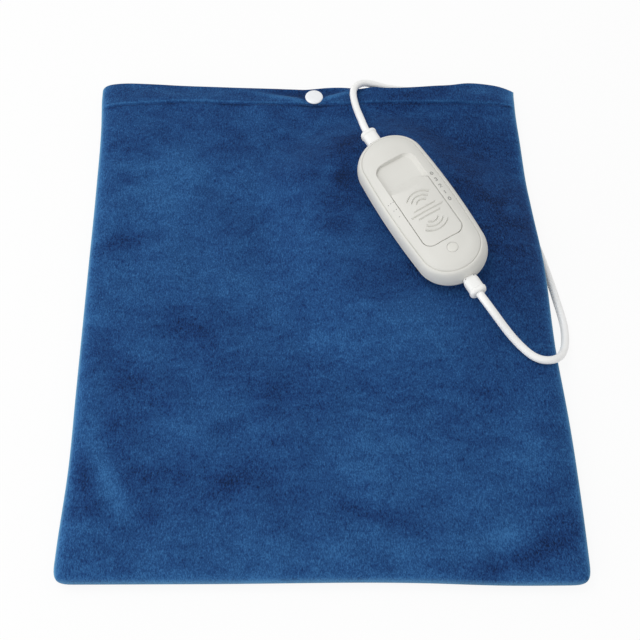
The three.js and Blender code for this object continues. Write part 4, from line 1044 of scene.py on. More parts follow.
def as_it_lies(x, y):
    """Moves a place on the even cover to where the real outline puts it."""
    near_left = 1 - smooth(x, -HALF_WIDTH, -60)
    near_right = smooth(x, 60, HALF_WIDTH)
    near_bottom = 1 - smooth(y, -HALF_LENGTH, -110)
    left = through(LEFT_EDGE, y) + HALF_WIDTH
    right = through(RIGHT_EDGE, y) - HALF_WIDTH
    bottom = through(BOTTOM_EDGE, x) + HALF_LENGTH
    return x + near_left * left + near_right * right, y + near_bottom * bottom


def edge_places(half, cell, dense):
    """Places across the cover, closer together at its sewn edges."""
    near = [half - EDGE_ROUND * share for share in dense]
    flat = half - EDGE_ROUND
    count = int(2 * flat / cell)
    middle = [-flat + 2 * flat * k / count for k in range(count + 1)]
    return [-p for p in near] + middle + near[::-1]


def cloth_rows():
    """Rows up the cover as (place up the body, share of the hem): closer at the seam and the stitches."""
    rows = [(-HALF_LENGTH + EDGE_ROUND * s, 0.0) for s in EDGE_STEPS]
    flat = -HALF_LENGTH + EDGE_ROUND
    below = HEM_LINE + STITCH_STEPS[0]
    rows += [(flat + (below - flat) * k / BODY_ROWS, 0.0) for k in range(BODY_ROWS)]
    rows += [(HEM_LINE + s, 0.0) for s in STITCH_STEPS]
    rows += [(HEM_LINE, s) for s in HEM_SHARES]
    return rows


def over_lead(x):
    """Where along the mouth the lead holds the hem up."""
    return smooth(x, 34, 50) * (1 - smooth(x, 108, 152))


def hem_underside(x, share):
    """Height of the front hem's underside, by the share of the hem."""
    closed = mix(FRONT_LOW, HEM_THICKNESS + LIP_GAP, smooth(share, 0, 1))
    return mix(closed, LEAD_HEM_LOW, over_lead(x))


def in_plan(x, y, in_x, in_y, inset, mouth):
    """Where a place of the panel lies, with round corners and its edge drawn in by an inset."""
    reach = EDGE_ROUND - inset
    side_x = HALF_WIDTH - EDGE_ROUND + reach * (1 - in_x) * bend(1 - in_y)
    side_y = HALF_LENGTH - EDGE_ROUND + reach * (1 - in_y) * bend(1 - in_x)
    px = np.where(in_x < 1, np.sign(x) * side_x, x)
    py = np.where(in_y < 1, -side_y, y)
    corner = 1 - np.sqrt(np.clip(1 - np.clip((y - mouth) / MOUTH_CORNER + 1, 0, 0.98) ** 2, 0, 1))
    px = px + MOUTH_CORNER * corner * (1 - smooth(x, -HALF_WIDTH, -130))
    return as_it_lies(px, py)


def panel_levels(x, share, from_stitch, side):
    """Heights of a panel's underside, its top and its seam, over what it lies on."""
    if side > 0:
        shut = hem_underside(x, np.zeros_like(x))
        body = mix(FRONT_LOW, shut, smooth(from_stitch, -8, 0))
        under = np.where(share > 0, hem_underside(x, share), body)
    else:
        under = np.zeros_like(x)
    top = mix(under + PLUSH, under + HEM_THICKNESS, smooth(from_stitch, -0.6, 2.4))
    apart = side * SEAM_APART
    at_hem = (hem_underside(x, share) + HEM_THICKNESS) / 2 + apart
    seam = SEAM_LEVEL + apart
    return under, top, np.where(share > 0, mix(seam, at_hem, smooth(share, 0, 0.6)), seam)


def build_cloth(name, side, sizes):
    """One panel of the cover with its hem, as a closed, thick sheet: side 1 is the front, -1 the back."""
    xs = np.array(edge_places(HALF_WIDTH, sizes.cell / MM, EDGE_STEPS))
    rows = cloth_rows()
    x = np.tile(xs, (len(rows), 1))
    base_y = np.array([r[0] for r in rows])[:, None] * np.ones_like(x)
    share = np.array([r[1] for r in rows])[:, None] * np.ones_like(x)
    in_x = np.clip((HALF_WIDTH - np.abs(x)) / EDGE_ROUND, 0, 1)
    in_y = np.clip((HALF_LENGTH + base_y) / EDGE_ROUND, 0, 1)
    way_in = np.minimum(in_x, in_y)
    round_up = np.sqrt(np.clip(1 - (1 - way_in) ** 2, 0, 1))
    rise = lift(x, np.minimum(base_y, HEM_LINE))

    stitch = through(STITCH_LINE, x)
    mouth = through(MOUTH_EDGE, x) + (0.0 if side > 0 else CLOTH_EDGE)
    shift = (stitch - HEM_LINE) * ridge(base_y, HEM_LINE, 22)
    y = np.where(share > 0, mix(stitch, mouth, share), base_y + shift)
    from_stitch = y - stitch

    under, top, seam = panel_levels(x, share, from_stitch, side)
    middle = under + HEM_THICKNESS / 2
    to_edge = (mouth - y) / (HEM_THICKNESS / 2)
    curl = np.sqrt(np.clip(1 - (1 - np.clip(to_edge, 0, 1)) ** 2, 0, 1))
    points = []
    for outer, inset in ((True, 0.0), (False, CLOTH_EDGE)):
        px, py = in_plan(x, y, in_x, in_y, inset, mouth)
        surface = top if outer == (side > 0) else under
        z = np.where(to_edge < 1, middle + (surface - middle) * curl, surface)
        z = mix(seam, z, round_up)
        if side > 0 and outer:
            z = z + surface_relief(x, y, from_stitch, round_up, rise, mouth)
        if side > 0:
            z = z + nest(px, py)
        points.extend(zip(px.ravel(), py.ravel(), (rise + z).ravel()))
    quads = sheet_faces(len(xs), len(rows))
    if side < 0:
        quads = [q[::-1] for q in quads]
    piece = mesh_piece(name, points, quads, materials["plush"])

    # Painted highlight at and near the rim, painted highlight on the hem above the stitches with painted
    # shade just below them, where the cloth dips into their groove, and painted highlights on the snap's
    # fold crests with painted shade in the valleys above them
    at_side = np.where(in_x < in_y, 1.0, 0.45)
    rim = 0.62 * at_side * ridge(way_in * EDGE_ROUND, 0, 1.1)
    painted_light = 1.6 * at_side * ridge(way_in * EDGE_ROUND, 0, 4.2)
    if side > 0:
        above = ridge(from_stitch, 1.6, 0.7)
        below = ridge(from_stitch, -1.0, 1.4)
        reach, crest, valley = snap_folds(x, y, mouth)
        painted_light = painted_light + 1.0 * above - 0.5 * below
        painted_light = painted_light + reach * (2.1 * crest - 0.6 * valley)
    add_nap(piece, np.concatenate([painted_light.ravel(), np.zeros(painted_light.size)]))
    write_values(piece, "rim", np.concatenate([rim.ravel(), rim.ravel()]))
    return piece


def surface_relief(x, y, from_stitch, round_up, rise, mouth):
    """Small rises and falls of the front: the stitch groove, puckers, soft folds and the snap's valley."""
    free = 1 - smooth(rise, 1.5, 11)
    soft = 0.55 * waves(x, y, 3, 26) + 0.35 * waves(x, y, 8, 11)
    z = soft * round_up * (0.25 + 0.75 * free) * (from_stitch < 0)
    groove = 0.55 * ridge(from_stitch, 0, 0.8) - 0.4 * ridge(from_stitch, -2.4, 1.3)
    z = z - groove * round_up
    pucker = np.sin(x * 2 * math.pi / 7.3 + 2 * np.sin(x / 19)) * ridge(from_stitch, 0, 5.5)
    z = z + 0.16 * pucker * round_up
    hem = smooth(from_stitch, 0, 3)
    z = z + hem * round_up * 0.35 * waves(x, y, 5, 17) * (1 - smooth(y, mouth - 4, mouth))
    # The snap pulls its place down to the back hem, and a fold runs out on each side of it
    away = np.hypot(x - SNAP_X, y - SNAP_Y)
    near = 1 - smooth(away, 7.2, 16)
    seat = SNAP_SEAT - 0.05 - (hem_underside(x, np.clip((y - HEM_LINE) / 18, 0, 1)) + HEM_THICKNESS)
    z = z + near * np.minimum(seat, 0.0) * (from_stitch > -3)
    reach, crest, valley = snap_folds(x, y, mouth)
    z = z + reach * (1.3 * crest - 1.5 * valley) * round_up
    return z


def snap_folds(x, y, mouth):
    """The folds beside the snap: their strength at each place, their crests, and the valleys above them."""
    aside = x - SNAP_X
    left, right = ((y - root) + slope * aside for root, slope in SNAP_FOLDS)
    fold = np.where(aside < 0, left, right)
    reach = np.where(aside < 0, ridge(aside, 0, 40), np.exp(-((aside / 27) ** 4)))
    reach = reach * (1 - ridge(aside, 0, 7))
    crest = ridge(fold, -0.8, 2.4)
    valley = smooth(fold, 0.5, 5) * (1 - smooth(y, mouth - 4, mouth + 1))
    return reach, crest, valley


def add_nap(piece, painted_light):
    """Writes at each point the painted light that it is given, and the patches of pile and painted shade,
    for the plush material.
    """
    places = point_places(piece)
    total = painted_light.copy()
    for cx, cy, half_x, half_y, turn, strength in NAP_AND_SHADE_PATCHES:
        angle = math.radians(turn)
        dx = places[:, 0] - cx
        dy = places[:, 1] - cy
        along = dx * math.cos(angle) + dy * math.sin(angle)
        across = dy * math.cos(angle) - dx * math.sin(angle)
        weight = strength * (PALE_SHARE if strength > 0 else 1.0)
        total += weight * np.exp(-((along / half_x) ** 2) - (across / half_y) ** 2)
    write_values(piece, "nap", total)


def lift_with_lip(piece):
    """Bends cloth between the cover and the lip, only over the lip's own width."""
    start = (SNAP_X * MM, LIP_FOLD_START, LIP_FOLD_HEIGHT)
    end = (SNAP_X * MM, LIP_FOLD_END, LIP_FOLD_HEIGHT)
    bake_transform(piece, "root", "mouth_lip", start, end)
    x = point_places(piece)[:, 0]
    attribute = piece.data.attributes["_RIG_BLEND"]
    weights = np.empty(len(x), np.float32)
    attribute.data.foreach_get("value", weights)
    window = smooth(x, *LIP_LEFT) * (1 - smooth(x, *LIP_RIGHT))
    attribute.data.foreach_set("value", (weights * window).astype(np.float32))


def build_stitches(sizes):
    """The hem's topstitching: short threads that dip into the plush at each end."""
    parts = []
    pitch = sizes.stitch / MM
    x = STITCHES_FROM
    while x < STITCHES_TO:
        path = []
        for k in range(6):
            t = k / 5
            at = x + pitch * STITCH_SHARE * t
            y = float(through(STITCH_LINE, at))
            edge = 1 - min((HALF_WIDTH - abs(at)) / EDGE_ROUND, 1.0)
            body = FRONT_TOP + 0.5 * float(over_lead(at)) - THREAD_SINK + THREAD_ARCH * math.sin(math.pi * t)
            z = mix(SEAM_LEVEL, body, math.sqrt(max(1 - edge**2, 0)))
            path.append(Vector((at, y, z)))
        parts.append(tube(path, THREAD_RADIUS, 6))
        x += pitch
    points, faces = joined(parts)
    piece = mesh_piece("hem_topstitch", points, faces, materials["thread"])
    lift_with_lip(piece)


def build_cover(sizes):
    """Both panels, whose front bends at the lip, and the topstitching."""
    front = build_cloth("cover_front_cloth", 1, sizes)
    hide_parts("cover_front", "hem_front_left", "mouth_lip", "hem_front_right")
    lift_with_lip(front)
    back = build_cloth("cover_back_cloth", -1, sizes)
    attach(back, "root")
    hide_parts("cover_back", "hem_back")
    build_stitches(sizes)


def build_snap():
    """The snap's cap, whose dome is dished a little in the middle."""
    low = SNAP_SEAT + 0.3
    radius = SNAP_RADIUS
    profile = [
        (0, 7.7), (1.3, 7.7), (1.3, low), (radius - 0.9, low), (radius - 0.35, low + 0.12),
        (radius - 0.06, low + 0.42), (radius, low + 0.72), (radius - 0.14, low + 1.02),
        (radius * 0.93, low + 1.27), (radius * 0.84, low + 1.47), (radius * 0.7, low + 1.64),
        (radius * 0.52, low + 1.75), (radius * 0.36, low + 1.79), (radius * 0.22, low + 1.76),
        (radius * 0.1, low + 1.74), (0, low + 1.73),
    ]
    points, faces = turned(profile, 64, (SNAP_X, SNAP_Y))
    cap = mesh_piece("snap_cap_dome", points, faces, materials["snap"], 50)
    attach(cap, "mouth_lip")
    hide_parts("snap_cap")
    dress_nodes("snap", ("snap_socket", "snap_stud", "snap_back_cap"))


# Inner pad


def build_inner_pad():
    """Two layers of lining, sewn to each other between the runs of the heating wire."""
    pitch = 2 * WIRE_HALF_WIDTH / WIRE_RUNS
    edge = INNER_HALF_WIDTH - np.array(INNER_EDGE_STEPS)
    runs = np.linspace(-WIRE_HALF_WIDTH, WIRE_HALF_WIDTH, WIRE_RUNS * 8 + 1)
    xs = np.concatenate([-edge, runs, edge[::-1]])
    ys = np.concatenate([INNER_HALF_WIDTH - edge - INNER_LOW, np.linspace(5 - INNER_LOW, INNER_TOP, 80)])
    x, y = np.meshgrid(xs, ys)
    run = np.abs(((x + WIRE_HALF_WIDTH) / pitch + 0.5) % 1 - 0.5) * 2
    inner = (y > -178) & (y < INNER_TOP - 12)
    sewn = smooth(run, 0.72, 1.0) * inner
    way_in = np.minimum(INNER_HALF_WIDTH - np.abs(x), y + INNER_LOW)
    open_up = np.sqrt(np.clip(1 - (1 - np.clip(way_in / 5, 0, 1)) ** 2, 0, 1))
    parts = []
    for sign in (1, -1):
        gap = (0.15 + 0.95 * open_up) * (1 - 0.8 * sewn)
        near = SEAM_LEVEL + sign * gap
        far = near + sign * LAYER_THICKNESS * (0.55 + 0.45 * open_up)
        top, low = (far, near) if sign > 0 else (near, far)
        base = lift(x, y) + (nest(x, y) if sign > 0 else 0)
        points = []
        for level_here in (top, low):
            points.extend(zip(x.ravel(), y.ravel(), (base + level_here).ravel()))
        parts.append((points, sheet_faces(len(xs), len(ys))))
    points, faces = joined(parts)
    piece = mesh_piece("inner_pad_layers", points, faces, materials["lining"])
    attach(piece, "root")
    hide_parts("inner_pad_front", "inner_pad_back")
    dress_nodes("wire", ("heating_wire",))
    dress_nodes("steel", ("thermal_cutout",))
    dress_nodes("overmould", ("lead_junction",))


# Controller


def body_ring(inset, height, ends=36, sides=26):
    """The controller's plan outline, drawn in by an inset, at a height."""
    points = []
    for end in (1, -1):
        for k in range(ends + 1):
            angle = -math.pi / 2 + math.pi * k / ends
            reach = HALF_SPINE + (END_REACH - inset) * math.cos(angle)
            points.append((end * reach, end * (HALF_BODY - SIDE_BOW - inset) * math.sin(angle), height))
        for k in range(1, sides):
            x = end * HALF_SPINE * (1 - 2 * k / sides)
            points.append((x, end * (HALF_BODY - SIDE_BOW * (x / HALF_SPINE) ** 2 - inset), height))
    return points


def inset_at(x, y):
    """How far a place is in from the controller's outline."""
    x = np.abs(x)
    side = HALF_BODY - SIDE_BOW * np.minimum(x / HALF_SPINE, 1) ** 2 - np.abs(y)
    beyond = np.maximum(x - HALF_SPINE, 0)
    low = np.zeros(np.shape(x))
    high = np.full(np.shape(x), END_REACH - 1.0)
    for _ in range(22):
        guess = (low + high) / 2
        outside = (beyond / (END_REACH - guess)) ** 2 + (y / (HALF_BODY - SIDE_BOW - guess)) ** 2 > 1
        low, high = np.where(outside, low, guess), np.where(outside, guess, high)
    return np.where(x > HALF_SPINE, (low + high) / 2, side)


def crown(x, y):
    """Height of the controller's upper face."""
    return through(CROWN, inset_at(x, y))


def below_crown(drop):
    """A surface that follows the crown, lower by a drop."""
    return lambda x, y: crown(x, y) - drop


def crown_at(x, y):
    """The crown's height at one place."""
    return float(crown(np.array(x), np.array(y)))


def track_ring(grow, floor=False):
    """The track's outline, grown by an amount, or drawn in on its scale side at the floor."""
    length = TRACK_LENGTH + 2 * grow
    width = TRACK_WIDTH + 2 * grow
    radius = TRACK_RADIUS + grow
    ring = even_ring(rounded_rectangle(length, width, radius, 10, (TRACK_CENTRE, 0)), 1.3)
    if not floor:
        return ring
    x_half = TRACK_LENGTH / 2
    drawn = []
    for x, y in ring:
        sx = (x - TRACK_CENTRE) / x_half
        drawn.append((TRACK_CENTRE + sx * (x_half - 0.5), y + SLANT_LOW * (0.5 - y / TRACK_WIDTH)))
    return drawn


def circle(x, y, radius, sides):
    """Points round a circle."""
    steps = [2 * math.pi * k / sides for k in range(sides)]
    return [(x + radius * math.cos(a), y + radius * math.sin(a)) for a in steps]


def raised_ring(ring, height):
    """A flat ring of places, set at a level or on a surface."""
    if callable(height):
        places = np.array(ring, float)
        levels = height(places[:, 0], places[:, 1])
        return [(x, y, z) for (x, y), z in zip(ring, levels)]
    return [(x, y, height) for x, y in ring]


def place_in_controller(piece, body):
    """Sets a piece made on the controller's axes where the controller lies, leaning to its left."""
    middle = Vector((CONTROLLER_X, CONTROLLER_Y, CONTROLLER_SEAT + PARTING)) * MM
    turn = Matrix.Rotation(CONTROLLER_TURN, 4, "Z") @ Matrix.Rotation(-CONTROLLER_LEAN, 4, "X")
    piece.matrix_world = Matrix.Translation(middle) @ turn @ Matrix.Translation((0, 0, -PARTING * MM))
    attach(piece, body)


def build_upper_shell():
    """The upper shell: crown, groove, side, wall, roof, track, lamp hole and screw bosses."""
    skin = Skin()
    edge = [p[:2] for p in body_ring(4.85, 0)]
    rim = track_ring(0.26)
    lamp = circle(LAMP_CENTRE, 0, LAMP_RADIUS + 0.4, 48)
    outer, rim_ids, lamp_ids = skin.add_plate(edge, [rim, lamp], crown, 1.25)

    # Outside: the groove round the crown, the rounded shoulder and the side down to the parting line
    levels = [(4.72, 20.25), (4.6, 19.95), (4.5, 19.6), (4.38, 19.5), (4.26, 19.58), (4.16, 19.8)]
    levels.append((4.0, 19.88))
    for k in range(1, 19):
        angle = math.radians(90 - 90 * k / 18)
        levels.append((4.0 * (1 - math.cos(angle)) ** 0.94, 9.95 + 9.93 * math.sin(angle)))
    levels += [(0.06, 9.9), (0.3, 9.86)]
    rings = [skin.add_ring(body_ring(inset, height)) for inset, height in levels]
    skin.add_walls(*reversed([outer, *rings]))

    # Inside: the wall's inner face up to the roof
    inner_levels = [(WALL, 9.86), (WALL, 12.4), (3.9, 15.6), (7.4, 17.6), (10.4, ROOF_LOW)]
    inner = [skin.add_ring(body_ring(inset, height)) for inset, height in inner_levels]
    skin.add_walls(*reversed([rings[-1], *inner[:-1]]))
    slot = rounded_rectangle(*STEM_SLOT, 3, STEM_SLOT_MIDDLE)
    hole = circle(LAMP_CENTRE, 0, LAMP_RADIUS + 0.07, 48)
    roof_edge = [p[:2] for p in body_ring(10.4, 0)]
    roof, slot_low, lamp_low = skin.add_plate(roof_edge, [slot, hole], level(ROOF_LOW), 6, up=False)
    skin.add_wall(roof, inner[-2])

    # Track: a rounded rim, walls that slope in on the scale's side, and a floor with the stem's slot
    lip = [(0.15, 0.04), (0.06, 0.12), (0.0, 0.3)]
    rim_rings = [skin.add_ring(raised_ring(track_ring(grow), below_crown(drop))) for grow, drop in lip]
    floor_edge, slot_high = skin.add_plate(track_ring(0, True), [slot], level(TRACK_FLOOR), 3)
    skin.add_walls(floor_edge, *reversed([rim_ids, *rim_rings]))
    skin.add_wall(slot_low, slot_high)
    steps = [(0.18, 0.03), (0.08, 0.1)]
    lamp_rings = []
    for grow, drop in steps:
        ring = circle(LAMP_CENTRE, 0, LAMP_RADIUS + grow, 48)
        lamp_rings.append(skin.add_ring(raised_ring(ring, below_crown(drop))))
    skin.add_walls(lamp_low, *reversed([lamp_ids, *lamp_rings]))
    boss = [(SCREW_BORE, 10.2), (3.3, 10.2), (3.3, 18.7), (SCREW_BORE, 18.7)]
    bosses = [sleeve(boss, 24, place) for place in SCREW_PLACES]
    points, faces = joined([(skin.points, skin.faces), *bosses])
    shell = mesh_piece("controller_upper_shell", points, faces, materials["housing"], 48)
    place_in_controller(shell, "root")
    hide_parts("controller_face")


def sleeve(profile, sides, centre):
    """A turned ring whose profile of (radius, height) pairs closes on itself."""
    rings = []
    for radius, height in profile:
        rings.append(raised_ring(circle(*centre, radius, sides), height))
    points, faces = lofted([*rings, rings[0]], False, False)
    count = len(rings) * sides
    faces = [tuple(k % count for k in face) for face in faces]
    return points[:count], faces


def build_lower_shell():
    """The lower shell: rounded side, floor with its screw holes, wall and screw posts."""
    skin = Skin()
    levels = [(EDGE_INSET - 0.5, 0.0)]
    for k in range(2, 20):
        angle = math.radians(4.5 * k)
        levels.append((EDGE_INSET * (1 - math.sin(angle)), 9.6 * (1 - math.cos(angle))))
    levels += [(0.0, 9.45), (0.07, 9.58), (0.3, 9.64)]
    rings = [skin.add_ring(body_ring(inset, height)) for inset, height in levels]
    skin.add_walls(*rings)
    holes = [circle(x, y, SCREW_HOLE, 24) for x, y in SCREW_PLACES]
    floor_edge = [p[:2] for p in body_ring(levels[0][0], 0)]
    plates = skin.add_plate(floor_edge, holes, level(0.0), 6, up=False)
    skin.add_wall(plates[0], rings[0])
    inner_levels = [(WALL, 9.64), (WALL, 6.7), (4.6, 3.7), (7.4, 2.4), (10.2, FLOOR_THICKNESS)]
    inner = [skin.add_ring(body_ring(inset, height)) for inset, height in inner_levels]
    skin.add_walls(rings[-1], *inner)
    inside_edge = [p[:2] for p in body_ring(10.2, 0)]
    lid = skin.add_plate(inside_edge, holes, level(FLOOR_THICKNESS), 8)
    skin.add_wall(inner[-1], lid[0])
    for low, high in zip(plates[1:], lid[1:]):
        skin.add_wall(high, low)
    post = [
        (SCREW_HOLE, 1.9), (3.6, 1.9), (3.6, 9.3), (SCREW_BORE, 9.3), (SCREW_BORE, 2.8), (SCREW_HOLE, 2.8),
    ]
    posts = [sleeve(post, 24, place) for place in SCREW_PLACES]
    points, faces = joined([(skin.points, skin.faces), *posts])
    shell = mesh_piece("controller_lower_shell", points, faces, materials["housing"], 48)
    place_in_controller(shell, "root")
    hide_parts("controller_base")


def ribbon(path, width, height):
    """A flat printed line along a path on the controller's upper face."""
    points = []
    for k, (x, y) in enumerate(path):
        ahead = Vector(path[min(k + 1, len(path) - 1)]) - Vector(path[max(k - 1, 0)])
        ahead.normalize()
        side = Vector((-ahead.y, ahead.x)) * width / 2
        for sign in (1, -1):
            px, py = x + sign * side.x, y + sign * side.y
            points.append((px, py, crown_at(px, py) + height))
    faces = [(2 * k, 2 * k + 1, 2 * k + 3, 2 * k + 2) for k in range(len(path) - 1)]
    return points, faces


def build_marks(sizes):
    """The printed scale beside the track, and the raised dots on its other side."""
    parts = []
    size = sizes.figure / MM / 1.5
    for figure, x in SCALE_FIGURES:
        for stroke in FIGURES[figure]:
            path = [(x + size * v, -SCALE_ROW - size * u) for u, v in stroke]
            parts.append(ribbon(path, STROKE, INK_HEIGHT))
    ring = []
    for k in range(25):
        angle = 2 * math.pi * k / 24
        ring.append((LAMP_SIGN + 1.15 * math.cos(angle), -SCALE_ROW + 0.95 * math.sin(angle)))
    parts.append(ribbon(ring, THIN_STROKE, INK_HEIGHT))
    bar = [(LAMP_SIGN, -SCALE_ROW - 0.5), (LAMP_SIGN, -SCALE_ROW + 0.5)]
    parts.append(ribbon(bar, 0.3, INK_HEIGHT))
    points, faces = joined(parts)
    ink = mesh_piece("scale_marks", points, faces, materials["ink"])
    place_in_controller(ink, "root")

    # The raised dots are coloured the same dark grey as the print
    dots = []
    for x, count in DOT_GROUPS:
        for k in range(count):
            y = SCALE_ROW + (k - (count - 1) / 2) * DOT_PITCH
            base = crown_at(x, y)
            steps = ((0, -0.2), (0.3, -0.2), (0.3, 0.04), (0.2, 0.12), (0, 0.14))
            dots.append(turned([(radius, base + rise) for radius, rise in steps], 12, (x, y)))
    points, faces = joined(dots)
    piece = mesh_piece("position_dots", points, faces, materials["ink"])
    place_in_controller(piece, "root")


def rib_distance(x, y):
    """How far a place is from the nearest rib's middle: three bars, and three arcs on each side of them."""
    half = TRACK_WIDTH / 2 - KNOB_CLEARANCE
    ribs = np.full(np.shape(x), 9.0)
    for offset, share in ((0, 0.8), (GRIP_SPACING, 0.54), (-GRIP_SPACING, 0.54)):
        across = np.abs(x - GRIP_CENTRE - offset)
        beyond = np.maximum(np.abs(y) - share * half, 0)
        ribs = np.minimum(ribs, np.hypot(across, beyond))
    for side in (1, -1):
        hub = GRIP_CENTRE + side * GRIP_SPACING * 1.6
        dx = side * (x - hub)
        angle = np.abs(np.arctan2(y, dx))
        for k in range(3):
            radius = GRIP_SPACING * (1.3 + k)
            spread = math.pi * (0.3 - 0.015 * k)
            on_arc = np.abs(np.hypot(dx, y) - radius)
            end_x = radius * math.cos(spread)
            end_y = radius * math.sin(spread)
            off_end = np.hypot(dx - end_x, np.abs(y) - end_y)
            ribs = np.minimum(ribs, np.where(angle < spread, on_arc, off_end))
    return ribs


def knob_height(x, y):
    """The knob's upper face: crowned across, with a ramp at its open end and the ribs of its grip."""
    end = KNOB_START + KNOB_LENGTH
    half = TRACK_WIDTH / 2 - KNOB_CLEARANCE
    plate = TOP - 1.0 * (y / half) ** 2
    ramp = mix(TOP, KNOB_FLOOR + 0.3, smooth(x, end - RAMP_LENGTH, end))
    ribs = 0.55 * (1 - smooth(rib_distance(x, y), 0.24, 0.5))
    # Each rib is cut a little below the face on its low side, where its shadow lies
    cut = 0.45 * (1 - smooth(rib_distance(x + 0.78, y), 0.12, 0.42))
    return np.minimum(plate, ramp) + ribs - cut


def knob_ring(grow, drop):
    """A ring of the knob's outline, a drop below its face, drawn in on its scale side as it gets lower."""
    width = TRACK_WIDTH - 2 * KNOB_CLEARANCE + 2 * grow
    length = KNOB_LENGTH + 2 * grow
    middle = KNOB_START + KNOB_LENGTH / 2
    radius = TRACK_RADIUS - KNOB_CLEARANCE + grow
    ring = even_ring(rounded_rectangle(length, width, radius, 10, (middle, 0)), 0.9)
    x, y = np.array(ring).T
    z = np.maximum(knob_height(x, y) - drop, KNOB_FLOOR + (0.06 if drop < 2 else 0))
    up = np.clip((z - KNOB_FLOOR) / (SLANT_TOP - KNOB_FLOOR), 0, 1)
    return list(zip(x, y + mix(SLANT_LOW, SLANT_HIGH, up) * (0.5 - y / width), z))


def build_knob():
    """The knob with its ramp and ribs, and the stem through the track's slot."""
    skin = Skin()
    edge = [p[:2] for p in knob_ring(-0.24, 0)]
    outer, = skin.add_plate(edge, [], knob_height, 0.26)
    drops = [(-0.12, 0.05), (-0.04, 0.13), (0.0, 0.28)]
    rings = [skin.add_ring(knob_ring(grow, drop)) for grow, drop in drops]
    low_ring = knob_ring(-0.1, 9)
    low = skin.add_ring(low_ring)
    skin.add_walls(low, *reversed([outer, *rings]))
    floor, = skin.add_plate([p[:2] for p in low_ring], [], level(KNOB_FLOOR), 6, up=False)
    skin.add_wall(floor, low)
    stem = rounded_rectangle(*STEM, 3, (GRIP_CENTRE, 0))
    post = lofted([raised_ring(stem, STEM_LOW), raised_ring(stem, KNOB_FLOOR)])
    points, faces = joined([(skin.points, skin.faces), post])
    knob = mesh_piece("slider_knob_ribbed", points, faces, materials["housing"], 48)
    place_in_controller(knob, "slider")
    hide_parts("slider_knob")
    dress_nodes("dark", ("slider_carriage",))
    dress_nodes("brass", ("contact_wiper",))


def build_lamp():
    """The round lens, a little proud of the crown."""
    top = crown_at(LAMP_CENTRE, 0.0)
    radius = LAMP_RADIUS
    profile = [
        (0, 18.4), (radius - 1.1, 18.4), (radius, 19.4), (radius, top - 0.3), (radius - 0.06, top - 0.14),
        (radius - 0.25, top - 0.06), (radius * 0.7, top - 0.03), (radius * 0.4, top + 0.01), (0, top + 0.03),
    ]
    points, faces = turned(profile, 48, (LAMP_CENTRE, 0))
    lens = mesh_piece("lamp_lens_round", points, faces, materials["lens"], 50)
    place_in_controller(lens, "root")
    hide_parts("lamp_lens")
    dress_nodes("glass", ("lamp_led", "fuse"))


def relief_section(x, width, height, radius):
    """One section of a strain relief, square to the cord."""
    flat = rounded_rectangle(width, height, min(radius, min(width, height) / 2 - 0.05), 6)
    return [(x, y, PARTING + z) for y, z in flat]


def build_reliefs():
    """Overmoulded strain reliefs: a narrow root with a slot on each side, a block, and a lip at the cord."""
    sections = [
        (-7.9, 10.6, 8.2, 1.0), (-4.4, 10.6, 8.2, 1.0), (-4.3, 7.6, 6.6, 1.0), (-0.5, 7.6, 6.6, 1.2),
        (-0.4, 9.0, 7.0, 2.0), (0.1, 9.3, 7.2, 2.2), (0.6, 9.5, 7.4, 2.4), (1.5, 10.3, 8.0, 2.8),
        (2.5, 10.6, 8.2, 3.0), (8.7, 10.6, 8.2, 3.0), (9.3, 10.8, 8.4, 3.1), (9.6, 11.5, 9.1, 3.3),
        (10.0, 11.7, 9.3, 3.4), (11.4, 11.6, 9.2, 3.4), (11.9, 11.2, 8.8, 3.4), (12.4, 10.4, 8.1, 3.3),
        (12.75, 9.3, 7.3, 3.2), (12.8, 6.6, 6.2, 3.0), (12.5, 5.7, 5.7, 2.8),
    ]
    ends = (("relief_pad", "strain_relief_pad", 1), ("relief_mains", "strain_relief_mains", -1))
    for name, node, end in ends:
        rings = [relief_section(RELIEF_START + offset, *rest) for offset, *rest in sections]
        points, faces = lofted([[(end * x, end * y, z) for x, y, z in ring] for ring in rings])
        piece = mesh_piece(name, points, faces, materials["overmould"], 60)
        place_in_controller(piece, "root")
        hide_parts(node)
        # Painted shade: a dark capsule on each side of the root stands in for the shade inside a slot
        slot_shade_marks = []
        for y in (-2.9, 2.9):
            low = Vector((RELIEF_START + 0.7, y, PARTING + 2.6))
            slot_shade_marks.append(tube([low, low + Vector((0.0, 0.1, 1.05))], 0.62, 10))
        points, faces = joined(slot_shade_marks)
        points = [(end * x, end * y, z) for x, y, z in points]
        slot_shade_piece = mesh_piece(name + "_slots", points, faces, materials["dark"])
        place_in_controller(slot_shade_piece, "root")


def build_electronics():
    """Materials of what the controller holds inside."""
    dress_nodes("board", ("circuit_board",))
    dress_nodes("brass", [f"switch_pad_{k}" for k in range(4)])
    dress_nodes("dark", ("capacitor", "triac", "terminal_mains", "terminal_pad"))
    dress_nodes("steel", [f"housing_screw_{k}" for k in range(1, 5)])


# Stage


def seen_by(tree, *kinds):
    """1 for rays of these kinds, and 0 for others."""
    path = add_node(tree, "ShaderNodeLightPath").outputs
    most = {"operation": "MAXIMUM"}
    seen = path[kinds[0]]
    for kind in kinds[1:]:
        seen = add_node(tree, "ShaderNodeMath", most, in0=seen, in1=path[kind]).outputs["Value"]
    return seen


